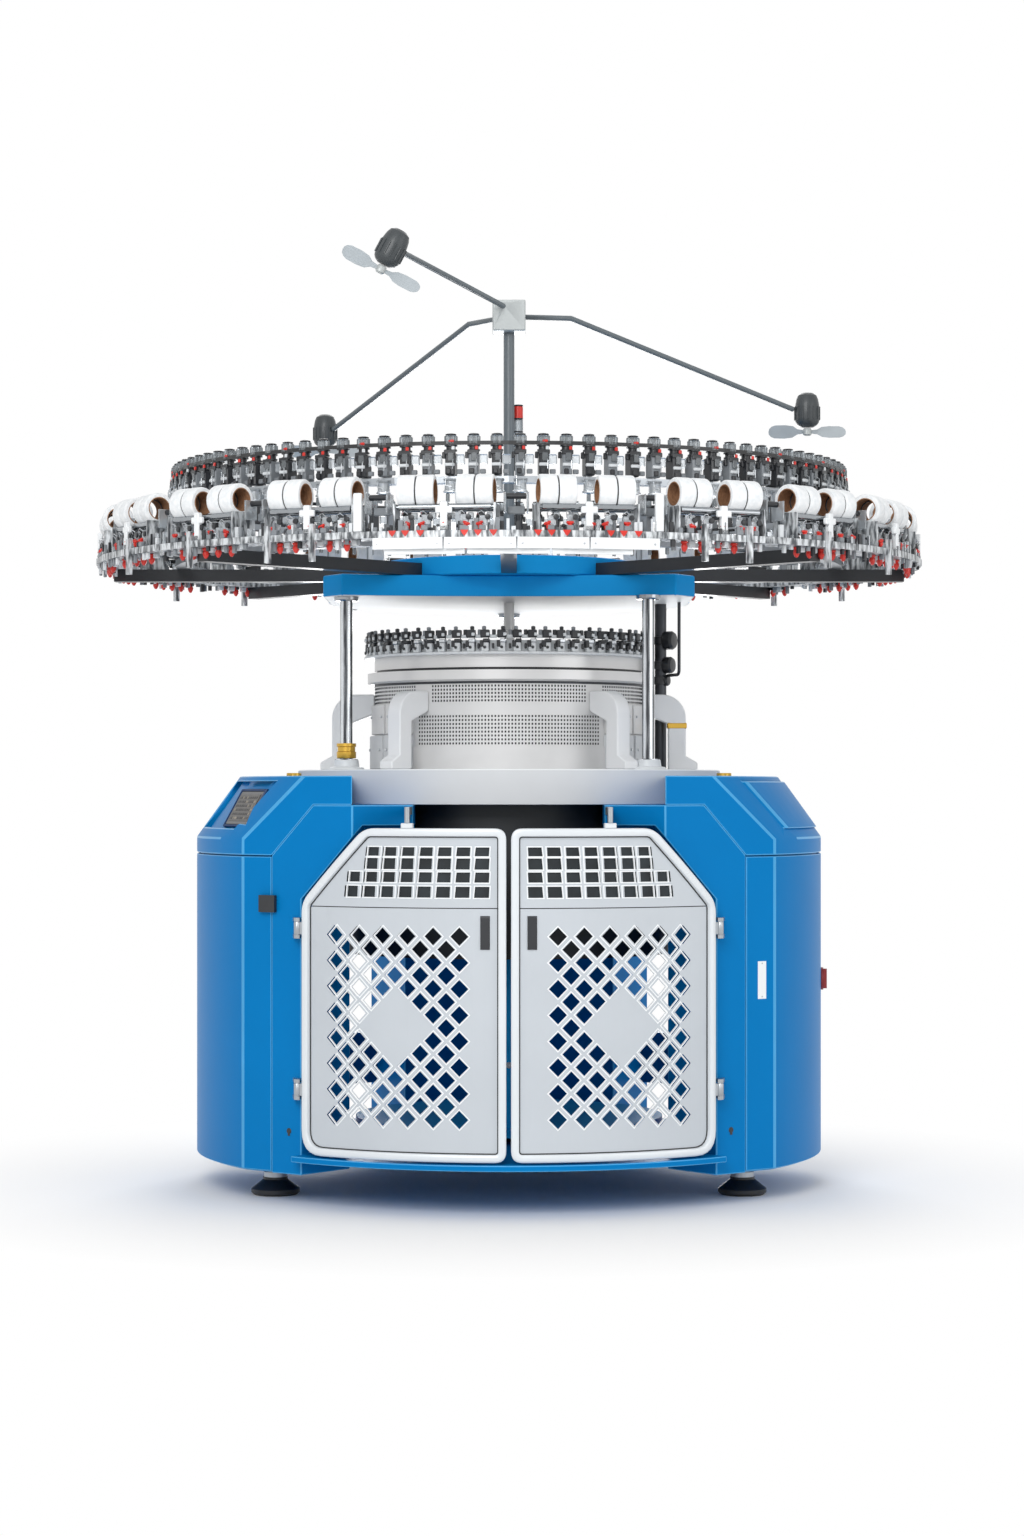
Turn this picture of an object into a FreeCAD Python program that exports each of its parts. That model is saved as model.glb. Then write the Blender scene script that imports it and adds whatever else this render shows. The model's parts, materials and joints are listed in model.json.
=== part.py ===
"""Circular knitting machine, 30 inch, double jersey, with a ring of yarn feeders.

The frame is millimetres, +Z up, with the origin on the floor under the machine's axis.
The front, where the two guard doors meet, faces -Y. Angles about the axis are counted
from the front, and are positive towards +X.
"""
import FreeCAD, Part
import math
import os
import re

import Sketcher
from FreeCAD import Placement, Rotation, Vector

# Driving dimensions in millimetres, degrees and counts. Each one has a cell of its own.
SIZES = {
    # feet
    "foot_circle": 878, "foot_angle": 60, "foot_pad_radius": 79, "foot_pad_height": 58,
    "foot_neck_radius": 40, "foot_stem_radius": 30, "foot_nut_height": 16,
    # base plate
    "base_bottom": 146, "base_top": 165, "base_setback": 5, "base_disc_radius": 640,
    "pivot_radius": 60, "pivot_fit": 0.3, "bearing_radius": 330, "bearing_width": 30,
    # leg housings
    "leg_bottom": 100, "leg_seam": 1108, "leg_radius": 1055, "leg_inner": 780,
    "facet_setback": 52, "facet_angle": 40.76, "crease_angle": 53.8, "leg_end": 102,
    "facet_reach": 203, "opening_gap": 6,
    "rear_half_angle": 29, "seam_distance": 120, "leg_wall": 28, "leg_floor": 30,
    "arm_bottom": 1040, "arm_inner": 606, "arm_angle": 75, "arm_reach": 303,
    "arm_front": 740, "arm_back": 500, "tie_bottom": 240, "tie_top": 426,
    "tie_setback": 55, "tie_width": 30,
    # cabinet doors in the front legs
    "cabinet_thickness": 15, "cabinet_gap": 0.3, "cabinet_edge_gap": 2, "cabinet_end": 96.5,
    "cabinet_bottom": 106, "cabinet_top": 1104, "cabinet_hinge_angle": 96.75,
    "cabinet_hinge_low": 330, "cabinet_hinge_high": 880, "cabinet_knuckle": 8,
    "cabinet_pin": 4, "cabinet_leaf": 3, "cabinet_leaf_angle": 2.2,
    # leg caps
    "cap_top": 1361, "cap_front_angle": 45.6, "cap_ridge": 1160, "cap_slope": 150,
    "cap_front_run": 250, "cap_middle_run": 130, "cap_seam_reach": 615,
    "bed_clearance": 0.3, "well_margin": 45, "well_low": 1192, "well_high": 1344,
    "well_end": 83, "well_depth": 20, "pad_lift": 8,
    # bed
    "bed_radius": 715, "bed_bottom": 1269, "bed_top": 1383, "bed_bore": 400,
    "bed_step": 14, "guard_radius": 560, "guard_wall": 12, "guard_bottom": 770,
    # posts and top plate
    "post_radius": 20, "post_circle": 639, "post_flange_radius": 38, "post_flange": 34,
    "post_left_angle": -56.7, "post_right_angle": 45.2, "plate_bottom": 1951,
    "plate_top": 2022, "plate_front": 430,
    "plate_front_mid": 350, "plate_front_half": 545, "plate_corner_half": 612,
    "plate_corner": 330, "plate_back": 690, "drive_post_radius": 20, "drive_post_place": 518,
    "drive_post_back": 58,
    # cam drum, rim and dial
    "drum_radius": 455, "drum_bore": 385, "drum_top": 1671, "drum_foot": 1459,
    "drum_foot_radius": 461, "rim_radius": 480,
    "rim_top": 1708, "dial_cam_bottom": 1717, "dial_cam_top": 1758, "dial_cam_radius": 456,
    "dial_tube_radius": 17, "dial_shaft_radius": 10, "running_fit": 0.3,
    "dial_radius": 376, "dial_bottom": 1700, "guide_ring_inner": 446,
    "guide_ring_outer": 492, "guide_ring_height": 8, "guide_count": 60,
    "guide_height": 84, "guide_width": 24, "guide_depth": 22,
    # brackets between the bed and the drum
    "bracket_width": 56, "bracket_foot": 640, "bracket_back": 600, "bracket_tip_low": 1574,
    "bracket_shoulder": 1560, "bracket_top": 1640, "bracket_tip_gap": 0.5,
    # rotating cylinder, gear and take-down
    "cylinder_radius": 381, "cylinder_wall": 40, "cylinder_top": 1690,
    "cylinder_flange": 1262, "gear_radius": 520, "gear_bottom": 1205, "gear_teeth": 72,
    "tooth_height": 14, "turntable_radius": 520, "turntable_top": 215,
    "turntable_bottom": 190, "cheek_place": 440, "cheek_half": 95, "cheek_thickness": 14,
    "draw_radius": 28, "draw_height": 620, "draw_gap": 0.6, "wind_radius": 36,
    "wind_height": 420, "journal_radius": 10, "journal_fit": 0.3, "roller_end_gap": 0.6,
    # feeder ring
    "hub_radius": 430, "hub_top": 2084, "spoke_count": 8, "spoke_width": 50,
    "spoke_bottom": 2023, "spoke_top": 2064, "rail_height": 20, "inner_rail_radius": 1105,
    "inner_rail_width": 46, "outer_rail_width": 106, "outer_rail_outer": 1392,
    "spoke_setback": 52, "unit_count": 20, "first_unit": 10, "feeder_rail_bottom": 2250,
    "feeder_radius": 1122, "feeders_per_unit": 5, "feeder_height": 76, "feeder_width": 34,
    "feeder_depth": 60, "pulley_radius": 13, "pulley_height": 54,
    "belt_height": 12, "belt_thickness": 2, "belt_lift": 18,
    "spool_radius": 50, "spool_bore": 35, "spool_width": 114, "spool_setback": 66,
    "spool_offset": 89, "rod_radius": 10,
    "rod_height": 2156, "roller_plate": 6, "roller_plate_half": 46,
    "stay_size": 16, "stay_bottom": 2000, "stay_top": 2112,
    "detector_height": 34, "detector_width": 46, "detector_depth": 18,
    "detector_setback": 40, "panel_bottom": 2015, "panel_thickness": 4,
    "panel_setback": 20,
    # fan system
    "column_radius": 18.5, "head_bottom": 2870, "head_top": 2975, "head_width": 112,
    "fan_arm_radius": 9, "fan_reach": 1000, "fan_level_height": 2988, "fan_low_height": 2630,
    "fan_bend_reach": 215, "fan_bend_height": 2925, "motor_radius": 46, "motor_length": 120,
    "blade_length": 135, "blade_width": 44, "blade_thickness": 4, "fan_tilt": 28,
    # guard doors
    "door_setback": 15, "door_frame_depth": 17, "door_frame_width": 25,
    "door_sheet": 4, "door_inner_angle": 0.4, "door_outer_angle": 38.9,
    "door_bottom": 171, "door_top": 1198, "door_chamfer_low": 964,
    "door_chamfer_angle": 25.7, "door_corner": 36, "door_low_corner": 80,
    "door_split": 952, "door_split_gap": 3, "sheet_inset": 12,
    "diamond_half": 30, "diamond_pitch": 80.5, "diamond_turn": 4.6,
    "diamond_first_angle": 8.5, "diamond_first_height": 301.5, "diamond_rows": 8,
    "diamond_columns": 6, "window_first": 3.0, "window_web": 0.7,
    "handle_angle": 4, "handle_bottom": 826, "handle_top": 928, "handle_width": 28,
    "handle_depth": 11, "handle_proud": 4, "handle_gap": 0.8, "hinge_angle": 39.72, "hinge_knuckle": 11,
    "hinge_pin": 5, "hinge_fit": 0.1, "hinge_height": 40, "hinge_plate": 12,
    "hinge_end_gap": 0.4,
    "hinge_low": 375, "hinge_high": 882,
    # small parts
    "switch_angle": 86, "switch_height": 680, "switch_radius": 38, "latch_height": 955,
    "latch_width": 64, "latch_tall": 54, "latch_depth": 12, "latch_fit": 0.3,
    "latch_seat": 3, "latch_seat_radius": 20, "latch_share": 0.35,
    "catch_place": 313, "catch_width": 16, "catch_tall": 24, "catch_drop": 6,
    "catch_radius": 9, "keeper_width": 38, "keeper_tall": 16, "catch_gap": 0.5,
    "display_width": 205, "display_tall": 125, "display_thickness": 16,
    "display_recess": 9, "display_angle": 64.5, "display_tilt": 60.5,
    "display_level": 1266, "display_share": 0.25, "display_gap": 0.3,
    "tower_radius": 17, "tower_bottom": 2404, "tower_top": 2635, "tower_pole": 9,
    "tower_place": 31,
}

doc = FreeCAD.newDocument("CircularKnittingMachine")
sheet = doc.addObject("Spreadsheet::Sheet", "Sizes")
for row, (alias, amount) in enumerate(SIZES.items(), start=1):
    sheet.set("A%d" % row, alias)
    sheet.set("B%d" % row, str(amount))
    sheet.setAlias("B%d" % row, alias)
doc.recompute()

sub_parts = []


# ---------------------------------------------------------------- reading the sheet
def formula(text):
    """Turn a formula written in alias words into one that reads the sheet."""
    return re.sub(r"[a-z]\w*", lambda word: _cell(word.group()), text)


def _cell(word):
    return "Sizes." + word if word in SIZES else word


def number(text):
    """The present value of a formula written in alias words."""
    return float(sheet.evalExpression(formula(text)))


class Values:
    """Reads a cell of the sheet by its alias."""

    def __getattr__(self, alias):
        return float(sheet.get(alias))


size = Values()


# ---------------------------------------------------------------- document objects
def sub_part(item, label):
    """Give an object the label that names its file, and list it for export."""
    item.Label = label
    sub_parts.append(item)
    return item


def shaped(label, shape):
    """A sub-part whose shape is made here from the sheet's values."""
    item = doc.addObject("Part::Feature", label.title().replace("_", ""))
    item.Shape = shape
    return sub_part(item, label)


def primitive(kind, name, x="0", y="0", z="0", **bound):
    """A Part primitive with its sizes and its place bound to the sheet."""
    item = doc.addObject("Part::" + kind, name)
    for prop, text in bound.items():
        item.setExpression(prop, formula(text))
    for axis, text in zip("xyz", (x, y, z)):
        item.setExpression("Placement.Base." + axis, formula(text))
    return item


def combined(kind, name, base, tool):
    """A Part::Cut, Part::Fuse or Part::Common of two objects."""
    item = doc.addObject("Part::" + kind, name)
    item.Base = base
    item.Tool = tool
    return item


def bound_sketch(body, plane, points, name):
    """A closed outline of straight edges whose corners are bound to the sheet."""
    sketch = body.newObject("Sketcher::SketchObject", name)
    origin = next(item for item in body.Origin.OriginFeatures if item.Role == plane)
    sketch.AttachmentSupport = [(origin, "")]
    sketch.MapMode = "FlatFace"
    corners = [Vector(number(u), number(v), 0) for u, v in points]
    count = len(corners)
    for index, corner in enumerate(corners):
        sketch.addGeometry(Part.LineSegment(corner, corners[(index + 1) % count]), False)
    for index in range(count):
        sketch.addConstraint(Sketcher.Constraint("Coincident", index, 2, (index + 1) % count, 1))
    for index, corner in enumerate(corners):
        for kind, text, at in (("DistanceX", points[index][0], corner.x),
                               ("DistanceY", points[index][1], corner.y)):
            rule = sketch.addConstraint(Sketcher.Constraint(kind, -1, 1, index, 1, at))
            sketch.setExpression("Constraints[%d]" % rule, formula(text))
    return sketch


def turned_body(name, profile):
    """A body turned about the machine's axis from (radius, height) corners."""
    body = doc.addObject("PartDesign::Body", name)
    sketch = bound_sketch(body, "XZ_Plane", profile, name + "Profile")
    turn = body.newObject("PartDesign::Revolution", name + "Turn")
    turn.Profile = sketch
    turn.ReferenceAxis = (sketch, ["V_Axis"])
    turn.Angle = 360
    return body


def turned(label, profile):
    return sub_part(turned_body(label.title().replace("_", ""), profile), label)


def copies(shape, placements):
    """One compound holding the shape at each placement."""
    made = []
    for place in placements:
        item = shape.copy()
        item.Placement = place.multiply(item.Placement)
        made.append(item)
    return Part.makeCompound(made)


# ---------------------------------------------------------------- geometry helpers
def polar(radius, angle, height=0.0):
    """The point at an angle counted from the front."""
    turn = math.radians(angle)
    return Vector(radius * math.sin(turn), -radius * math.cos(turn), height)


def line(start, end):
    return Part.LineSegment(start, end).toShape()


def arc(radius, start, end, height=0.0):
    """An edge along a circle about the machine's axis."""
    middle = (start + end) / 2
    ends = [polar(radius, angle, height) for angle in (start, middle, end)]
    return Part.Arc(*ends).toShape()


def prism(edges, height):
    """The solid over a closed flat outline."""
    return Part.Face(Part.Wire(edges)).extrude(Vector(0, 0, height))


def holed_face(wires):
    """The flat face inside the first outline and outside the others."""
    return Part.makeFace(wires, "Part::FaceMakerBullseye")


def polygon(points, height):
    return Part.Face(closed_wire(points)).extrude(Vector(0, 0, height))


def sector(inner, outer, start, end, bottom, top):
    """A piece of a ring between two radii, two angles and two heights."""
    edges = [arc(outer, start, end, bottom),
             line(polar(outer, end, bottom), polar(inner, end, bottom)),
             arc(inner, end, start, bottom),
             line(polar(inner, start, bottom), polar(outer, start, bottom))]
    return prism(edges, top - bottom)


def ring(inner, outer, bottom, top):
    tall = top - bottom
    at = Vector(0, 0, bottom)
    return Part.makeCylinder(outer, tall, at).cut(Part.makeCylinder(inner, tall, at))


def sided_ring(inner, outer, sides, first, bottom, top):
    """A ring built from straight lengths, with a corner at the first angle."""
    step = 360.0 / sides
    rims = []
    for radius in (outer, inner):
        corners = [polar(radius, first + step * index, bottom) for index in range(sides)]
        rims.append(closed_wire(corners))
    return holed_face(rims).extrude(Vector(0, 0, top - bottom))


def block(width, depth, tall, centre, angle, bottom):
    """A box standing at an angle about the axis: width along the ring, depth radial."""
    item = Part.makeBox(width, depth, tall, Vector(-width / 2, -centre - depth / 2, bottom))
    item.rotate(Vector(), Vector(0, 0, 1), angle)
    return item


def loft(outlines):
    """The solid with straight rulings between closed outlines."""
    return Part.makeLoft(outlines, True, True)


def closed_wire(points):
    return Part.Wire([line(a, b) for a, b in zip(points, points[1:] + points[:1])])


def sided_rod(radius, length, sides, start, direction, turn=0.0):
    """A straight rod with flat sides."""
    corners = []
    for index in range(sides):
        at = 2 * math.pi * (index + turn) / sides
        corners.append(Vector(radius * math.cos(at), radius * math.sin(at), 0))
    rod = polygon(corners, length)
    rod.Placement = Placement(start, Rotation(Vector(0, 0, 1), direction))
    return rod


def mirrored(shape):
    return shape.mirror(Vector(), Vector(1, 0, 0))


def around(count, first=0.0):
    return [first + 360.0 * index / count for index in range(count)]


def turned_to(angle):
    """The placement that turns a piece made at the front to an angle about the axis."""
    return Placement(Vector(), Rotation(Vector(0, 0, 1), angle))


# ---------------------------------------------------------------- feet and base
FOOT_ANGLES = (-size.foot_angle, size.foot_angle, 180.0)


def feet():
    pad = turned_body("FootPadPattern", [
        ("0", "0"), ("foot_pad_radius - 9", "0"), ("foot_pad_radius", "8"),
        ("foot_pad_radius", "20"), ("foot_neck_radius", "foot_pad_height - 8"),
        ("foot_neck_radius", "foot_pad_height"), ("0", "foot_pad_height")])
    stem = turned_body("FootStemPattern", [
        ("0", "foot_pad_height"), ("foot_neck_radius - 2", "foot_pad_height"),
        ("foot_neck_radius - 2", "foot_pad_height + foot_nut_height"),
        ("foot_stem_radius", "foot_pad_height + foot_nut_height"),
        ("foot_stem_radius", "leg_bottom"), ("0", "leg_bottom")])
    doc.recompute()
    places = [Placement(polar(size.foot_circle, angle), Rotation()) for angle in FOOT_ANGLES]
    shaped("foot_pads", copies(pad.Shape, places))
    shaped("foot_stems", copies(stem.Shape, places))


def base_plate():
    """A disc reaching out to the front skirt, with the take-down's bearing on it."""
    low, high = size.base_bottom, size.base_top
    disc = Part.makeCylinder(size.base_disc_radius, high - low, Vector(0, 0, low))
    front = sector(300, size.leg_inner, -size.leg_end, size.leg_end, low, high)
    skirt = sector(300, size.leg_radius - size.base_setback, -size.facet_angle,
                   size.facet_angle, low, high)
    rear = sector(300, size.leg_inner, 180 - size.rear_half_angle,
                  180 + size.rear_half_angle, low, high)
    plate = disc.fuse([front, skirt, rear]).removeSplitter()
    bearing = ring(size.bearing_radius - size.bearing_width, size.bearing_radius,
                   high, size.turntable_bottom - size.running_fit)
    bore = Part.makeCylinder(size.pivot_radius + size.pivot_fit, high - low, Vector(0, 0, low))
    shaped("base_plate", plate.fuse(bearing).cut(bore))


# ---------------------------------------------------------------- leg housings
def facet_corner():
    return polar(size.leg_radius - size.facet_setback, size.facet_angle)


def facet_along():
    """The direction of the flat front facet, from the door's side outwards."""
    return (polar(size.leg_radius, size.crease_angle) - facet_corner()).normalize()


def facet_outward():
    along = facet_along()
    return Vector(along.y, -along.x, 0)


def facet_end():
    """The inner end of the flat front, beside the bed."""
    return facet_corner() - facet_along() * size.facet_reach


def crease(inset):
    """Where the facet and the round side meet, both moved inwards by an inset."""
    start = facet_corner() - facet_outward() * inset
    along = facet_along()
    radius = size.leg_radius - inset
    middle = start.dot(along)
    reach = math.sqrt(middle ** 2 - start.dot(start) + radius ** 2) - middle
    return start + along * reach


def angle_of(point):
    return math.degrees(math.atan2(point.x, -point.y))


def lift(point, height):
    return Vector(point.x, point.y, height)


def leg_shell(bottom, top):
    """The lower housing of the right leg, recessed for its cabinet door."""
    inset = size.cabinet_thickness + size.cabinet_gap
    corner = facet_corner()
    seam = corner + facet_along() * size.seam_distance
    seam_in = seam - facet_outward() * inset
    bend = crease(inset)
    strip = size.cabinet_end + 0.2
    edges = [
        line(polar(size.leg_inner, size.facet_angle), corner),
        line(corner, seam), line(seam, seam_in), line(seam_in, bend),
        arc(size.leg_radius - inset, angle_of(bend), strip),
        line(polar(size.leg_radius - inset, strip), polar(size.leg_radius, strip)),
        arc(size.leg_radius, strip, size.leg_end),
        line(polar(size.leg_radius, size.leg_end), polar(size.leg_inner, size.leg_end)),
        arc(size.leg_inner, size.leg_end, size.facet_angle)]
    shell = prism(edges, top - bottom)
    shell.translate(Vector(0, 0, bottom))
    return shell


def shoulder_arcs():
    """The lower and the upper edge of the sloping shoulder, from the front to the back."""
    arcs = []
    for height, front_run, middle_run, side_run in (
            (size.cap_ridge, 0.0, 0.0, 0.0),
            (size.cap_top, size.cap_front_run, size.cap_middle_run, size.cap_slope)):
        bend = crease(0.0) - facet_along() * front_run
        rear = polar(size.leg_radius - side_run, size.leg_end)
        middle = polar(size.leg_radius - middle_run, (angle_of(bend) + size.leg_end) / 2)
        ends = [lift(point, height) for point in (bend, middle, rear)]
        arcs.append(Part.Arc(*ends).toShape())
    return arcs


def along_arc(edge, share):
    first, last = edge.ParameterRange
    return edge.valueAt(first + share * (last - first))


def shoulder_cutter():
    """What the shoulder takes off: the space outside its straight rulings."""
    past = 0.05
    far = 2 * size.leg_radius
    outlines = []
    for bow in shoulder_arcs():
        start, middle, end = (along_arc(bow, share) for share in (-past, 0.5, 1 + past))
        front_far = polar(far, size.facet_angle, middle.z)
        rear_far = polar(far, size.leg_end, middle.z)
        outlines.append(Part.Wire([Part.Arc(start, middle, end).toShape(),
                                   line(end, rear_far), line(rear_far, front_far),
                                   line(front_far, start)]))
    return loft(outlines)


def upper_body():
    """The right leg above its seam: a flat front, a round side and a sloping shoulder."""
    inner = size.bed_radius + size.bed_clearance
    bend = crease(0.0)
    edges = [line(polar(inner, size.cap_front_angle), facet_end()), line(facet_end(), bend),
             arc(size.leg_radius, angle_of(bend), size.leg_end),
             line(polar(size.leg_radius, size.leg_end), polar(inner, size.leg_end)),
             arc(inner, size.leg_end, size.cap_front_angle)]
    body = prism(edges, size.cap_top - size.leg_seam)
    body.translate(Vector(0, 0, size.leg_seam))
    return body.cut(shoulder_cutter())


def through_front(outline):
    """A solid over an outline of (x, height) pairs, through the whole front of a leg."""
    ahead = size.leg_radius
    corners = [Vector(x, -ahead, height) for x, height in outline]
    return Part.Face(closed_wire(corners)).extrude(Vector(0, ahead - size.arm_back, 0))


def front_wedge():
    """What lies under the sloping seam between a leg's cap and its front frame."""
    seam = facet_corner() + facet_along() * size.seam_distance
    low, high = size.leg_seam, size.bed_bottom
    return through_front([(seam.x, low), (size.cap_seam_reach, high), (0, high), (0, low)])


def door_opening():
    """The opening behind a door's upper corner, following the door's chamfer."""
    gap = size.opening_gap
    low, high = size.door_chamfer_low + gap, size.door_top + gap
    near = door_radius() * math.sin(math.radians(size.door_chamfer_angle)) + gap
    foot = facet_corner().x
    return through_front([(foot, low), (near, high), (0, high), (0, low - gap),
                          (foot, low - gap)])


def slope_cutter():
    """The turned envelope that gives the rear cap its sloping outer shoulder."""
    rise = size.cap_top - size.cap_ridge
    past = 10.0
    corners = [Vector(0, 0, size.leg_seam), Vector(size.leg_radius + past, 0, size.leg_seam),
               Vector(size.leg_radius + past, 0, size.cap_ridge - rise * past / size.cap_slope),
               Vector(size.leg_radius - size.cap_slope, 0, size.cap_top),
               Vector(0, 0, size.cap_top)]
    return Part.Face(closed_wire(corners)).revolve(Vector(), Vector(0, 0, 1), 360)


def slope_outward():
    """The direction that a cap's sloping shoulder faces, level part and rise."""
    tilt = math.radians(size.display_tilt)
    level = polar(math.sin(tilt), size.display_angle)
    return lift(level, math.cos(tilt))


def slope_window():
    """The space over the middle of the shoulder, inside its four margins."""
    past = 600.0
    start = facet_corner() - facet_outward() * size.well_margin
    corners = [start, start + facet_along() * past, polar(size.leg_radius + past, size.well_end),
               polar(past, size.well_end)]
    return polygon([lift(point, size.well_low) for point in corners],
                   size.well_high - size.well_low)


def caps():
    """The right cap has a raised cover on its slope, the left one a well for the panel."""
    body = upper_body()
    sunk = body.copy()
    sunk.translate(slope_outward() * -size.well_depth)
    well = slope_window().cut(sunk)
    pocket = display_block(size.display_gap, size.well_depth)
    shaped("cap_left", mirrored(body.copy().cut(front_wedge()).cut(well).cut(pocket)))
    raised = body.copy()
    raised.translate(slope_outward() * size.pad_lift)
    cover = raised.common(slope_window())
    shaped("cap_right", body.fuse(cover).cut(front_wedge()).removeSplitter())


def legs():
    low, high = size.leg_bottom, size.leg_seam
    housing = leg_shell(low, high)
    cavity = sector(size.leg_inner + size.leg_wall, size.leg_radius + 60,
                    size.facet_angle + 8, size.cabinet_end - 4,
                    low + size.leg_floor, high - size.leg_floor)
    housing = housing.cut(cavity)
    arm = sector(size.arm_inner, size.leg_inner, size.facet_angle, size.arm_angle,
                 size.arm_bottom, high)
    seat = sector(size.arm_inner, size.bed_radius, size.facet_angle, size.arm_angle,
                  size.arm_bottom, size.bed_bottom)
    nose = [facet_corner(), facet_end(), Vector(size.arm_reach, -size.arm_front, 0),
            Vector(size.arm_reach, -size.arm_back, 0),
            polar(size.arm_inner, size.cap_front_angle),
            polar(size.bed_radius + size.bed_clearance, size.cap_front_angle)]
    front = polygon([lift(point, size.door_chamfer_low) for point in nose],
                    size.bed_bottom - size.door_chamfer_low)
    body, wedge = upper_body(), front_wedge()
    front = front.cut(body.cut(wedge)).fuse(body.common(wedge)).cut(door_opening())
    right = housing.fuse([arm, seat, front]).removeSplitter()
    shaped("leg_right", right)
    shaped("leg_left", mirrored(right))
    caps()
    start, end = 180 - size.rear_half_angle, 180 + size.rear_half_angle
    rear = sector(size.leg_inner, size.leg_radius, start, end, low, high)
    rear_arm = sector(size.arm_inner, size.leg_inner, start, end, size.arm_bottom, high)
    rear_seat = sector(size.arm_inner, size.bed_radius, start, end, size.arm_bottom,
                       size.bed_bottom)
    shaped("leg_rear", rear.fuse([rear_arm, rear_seat]).removeSplitter())
    rear_cap = sector(size.bed_radius + size.bed_clearance, size.leg_radius, start, end,
                      high, size.cap_top)
    shaped("cap_rear", rear_cap.common(slope_cutter()))
    outer = size.leg_radius - size.tie_setback + size.tie_width
    ties = [sector(outer - size.tie_width, outer, first, last, size.tie_bottom, size.tie_top)
            for first, last in ((size.leg_end, start), (end, 360 - size.leg_end))]
    shaped("tie_beams", Part.makeCompound(ties))
    door_catches(right)


def catch_angle():
    """Where a catch meets its door, over the middle of the door's frame."""
    ahead = door_radius() - size.door_frame_depth / 2
    return math.degrees(math.asin(size.catch_place / ahead))


def door_catches(leg):
    """Roller catches over the doors, each on a bar that stands out from its leg's arm."""
    width, tall = size.catch_width, size.catch_tall
    front = size.catch_place / math.tan(math.radians(catch_angle()))
    high = size.bed_bottom - size.catch_drop
    bar = Part.makeBox(width, front - size.arm_back, tall,
                       Vector(size.catch_place - width / 2, -front, high - tall))
    roller_low = size.door_top + size.keeper_tall + size.catch_gap
    pin = Part.makeCylinder(size.catch_radius, high - roller_low,
                            Vector(size.catch_place, -front, roller_low))
    catch = bar.cut(leg).Solids
    kept = max(catch, key=lambda solid: -solid.BoundBox.YMin).fuse(pin)
    shaped("door_catches", Part.makeCompound([kept, mirrored(kept)]))


def cabinet_pin_line():
    return polar(size.leg_radius + size.cabinet_knuckle + 1, size.cabinet_hinge_angle)


def cabinet_leaf(low, high, side):
    """A hinge leaf on the round side, reaching from the pin to one side of it."""
    middle = size.cabinet_hinge_angle
    ends = sorted((middle + side * 0.15, middle + side * size.cabinet_leaf_angle))
    return sector(size.leg_radius, size.leg_radius + size.cabinet_leaf, ends[0], ends[1],
                  low, high)


def cabinet_knuckle(low, high, side):
    leaf = cabinet_leaf(low, high, side)
    barrel = Part.makeCylinder(size.cabinet_knuckle, high - low, lift(cabinet_pin_line(), low))
    return [leaf, barrel]


def cabinet_hinge_levels():
    return (size.cabinet_hinge_low, size.cabinet_hinge_high)


def cabinet_hinges():
    """The leg's half of each cabinet hinge: two knuckles and the pin through them."""
    hinges = []
    for middle in cabinet_hinge_levels():
        half = size.hinge_height / 2
        gap = size.hinge_end_gap
        pieces = cabinet_knuckle(middle + half + gap, middle + 2 * half, 1)
        pieces += cabinet_knuckle(middle - 2 * half, middle - half - gap, 1)
        pin = Part.makeCylinder(size.cabinet_pin, 4 * half,
                                lift(cabinet_pin_line(), middle - 2 * half))
        hinges.append(pin.fuse(pieces))
    return hinges


def cabinet_doors():
    """A folded steel door round each front leg, hung at the back on outside hinges."""
    thick = size.cabinet_thickness
    along = facet_along()
    start = facet_corner() + along * (size.seam_distance + size.cabinet_edge_gap)
    start_in = start - facet_outward() * thick
    bend = crease(0.0)
    bend_in = crease(thick)
    edges = [
        line(start, bend), arc(size.leg_radius, angle_of(bend), size.cabinet_end),
        line(polar(size.leg_radius, size.cabinet_end),
             polar(size.leg_radius - thick, size.cabinet_end)),
        arc(size.leg_radius - thick, size.cabinet_end, angle_of(bend_in)),
        line(bend_in, start_in), line(start_in, start)]
    door = prism(edges, size.cabinet_top - size.cabinet_bottom)
    door.translate(Vector(0, 0, size.cabinet_bottom))
    half = size.hinge_height / 2
    for middle in cabinet_hinge_levels():
        door = door.fuse(cabinet_knuckle(middle - half, middle + half, -1))
        door = door.cut(Part.makeCylinder(size.cabinet_pin + size.hinge_fit, 2 * half,
                                          lift(cabinet_pin_line(), middle - half)))
    shaped("cabinet_door_right", door)
    shaped("cabinet_door_left", mirrored(door))


# ---------------------------------------------------------------- bed, posts, top plate
def bed():
    turned("bed_plate", [
        ("bed_bore", "bed_bottom"), ("bed_radius", "bed_bottom"),
        ("bed_radius", "bed_top"), ("bed_bore", "bed_top")])
    turned("gear_guard", [
        ("guard_radius - guard_wall", "guard_bottom"), ("guard_radius", "guard_bottom"),
        ("guard_radius", "bed_bottom"), ("guard_radius - guard_wall", "bed_bottom")])


def post(name, angle_text):
    """A chromed post with the flange that bolts it to the bed."""
    x = "post_circle * sin(%s * 1 deg)" % angle_text
    y = "-post_circle * cos(%s * 1 deg)" % angle_text
    shaft = primitive("Cylinder", name + "Shaft", x, y, "bed_top",
                      Radius="post_radius", Height="plate_bottom - bed_top")
    flange = primitive("Cylinder", name + "Flange", x, y, "bed_top",
                       Radius="post_flange_radius", Height="post_flange")
    return combined("Fuse", name, shaft, flange)


def posts():
    sub_part(post("PostLeft", "post_left_angle"), "post_left")
    sub_part(post("PostRight", "post_right_angle"), "post_right")
    sub_part(post("PostRear", "180"), "post_rear")
    sub_part(primitive("Cylinder", "DriveColumn", "drive_post_place", "drive_post_back",
                       "bed_top",
                       Radius="drive_post_radius", Height="plate_bottom - bed_top"),
             "drive_column")


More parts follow.
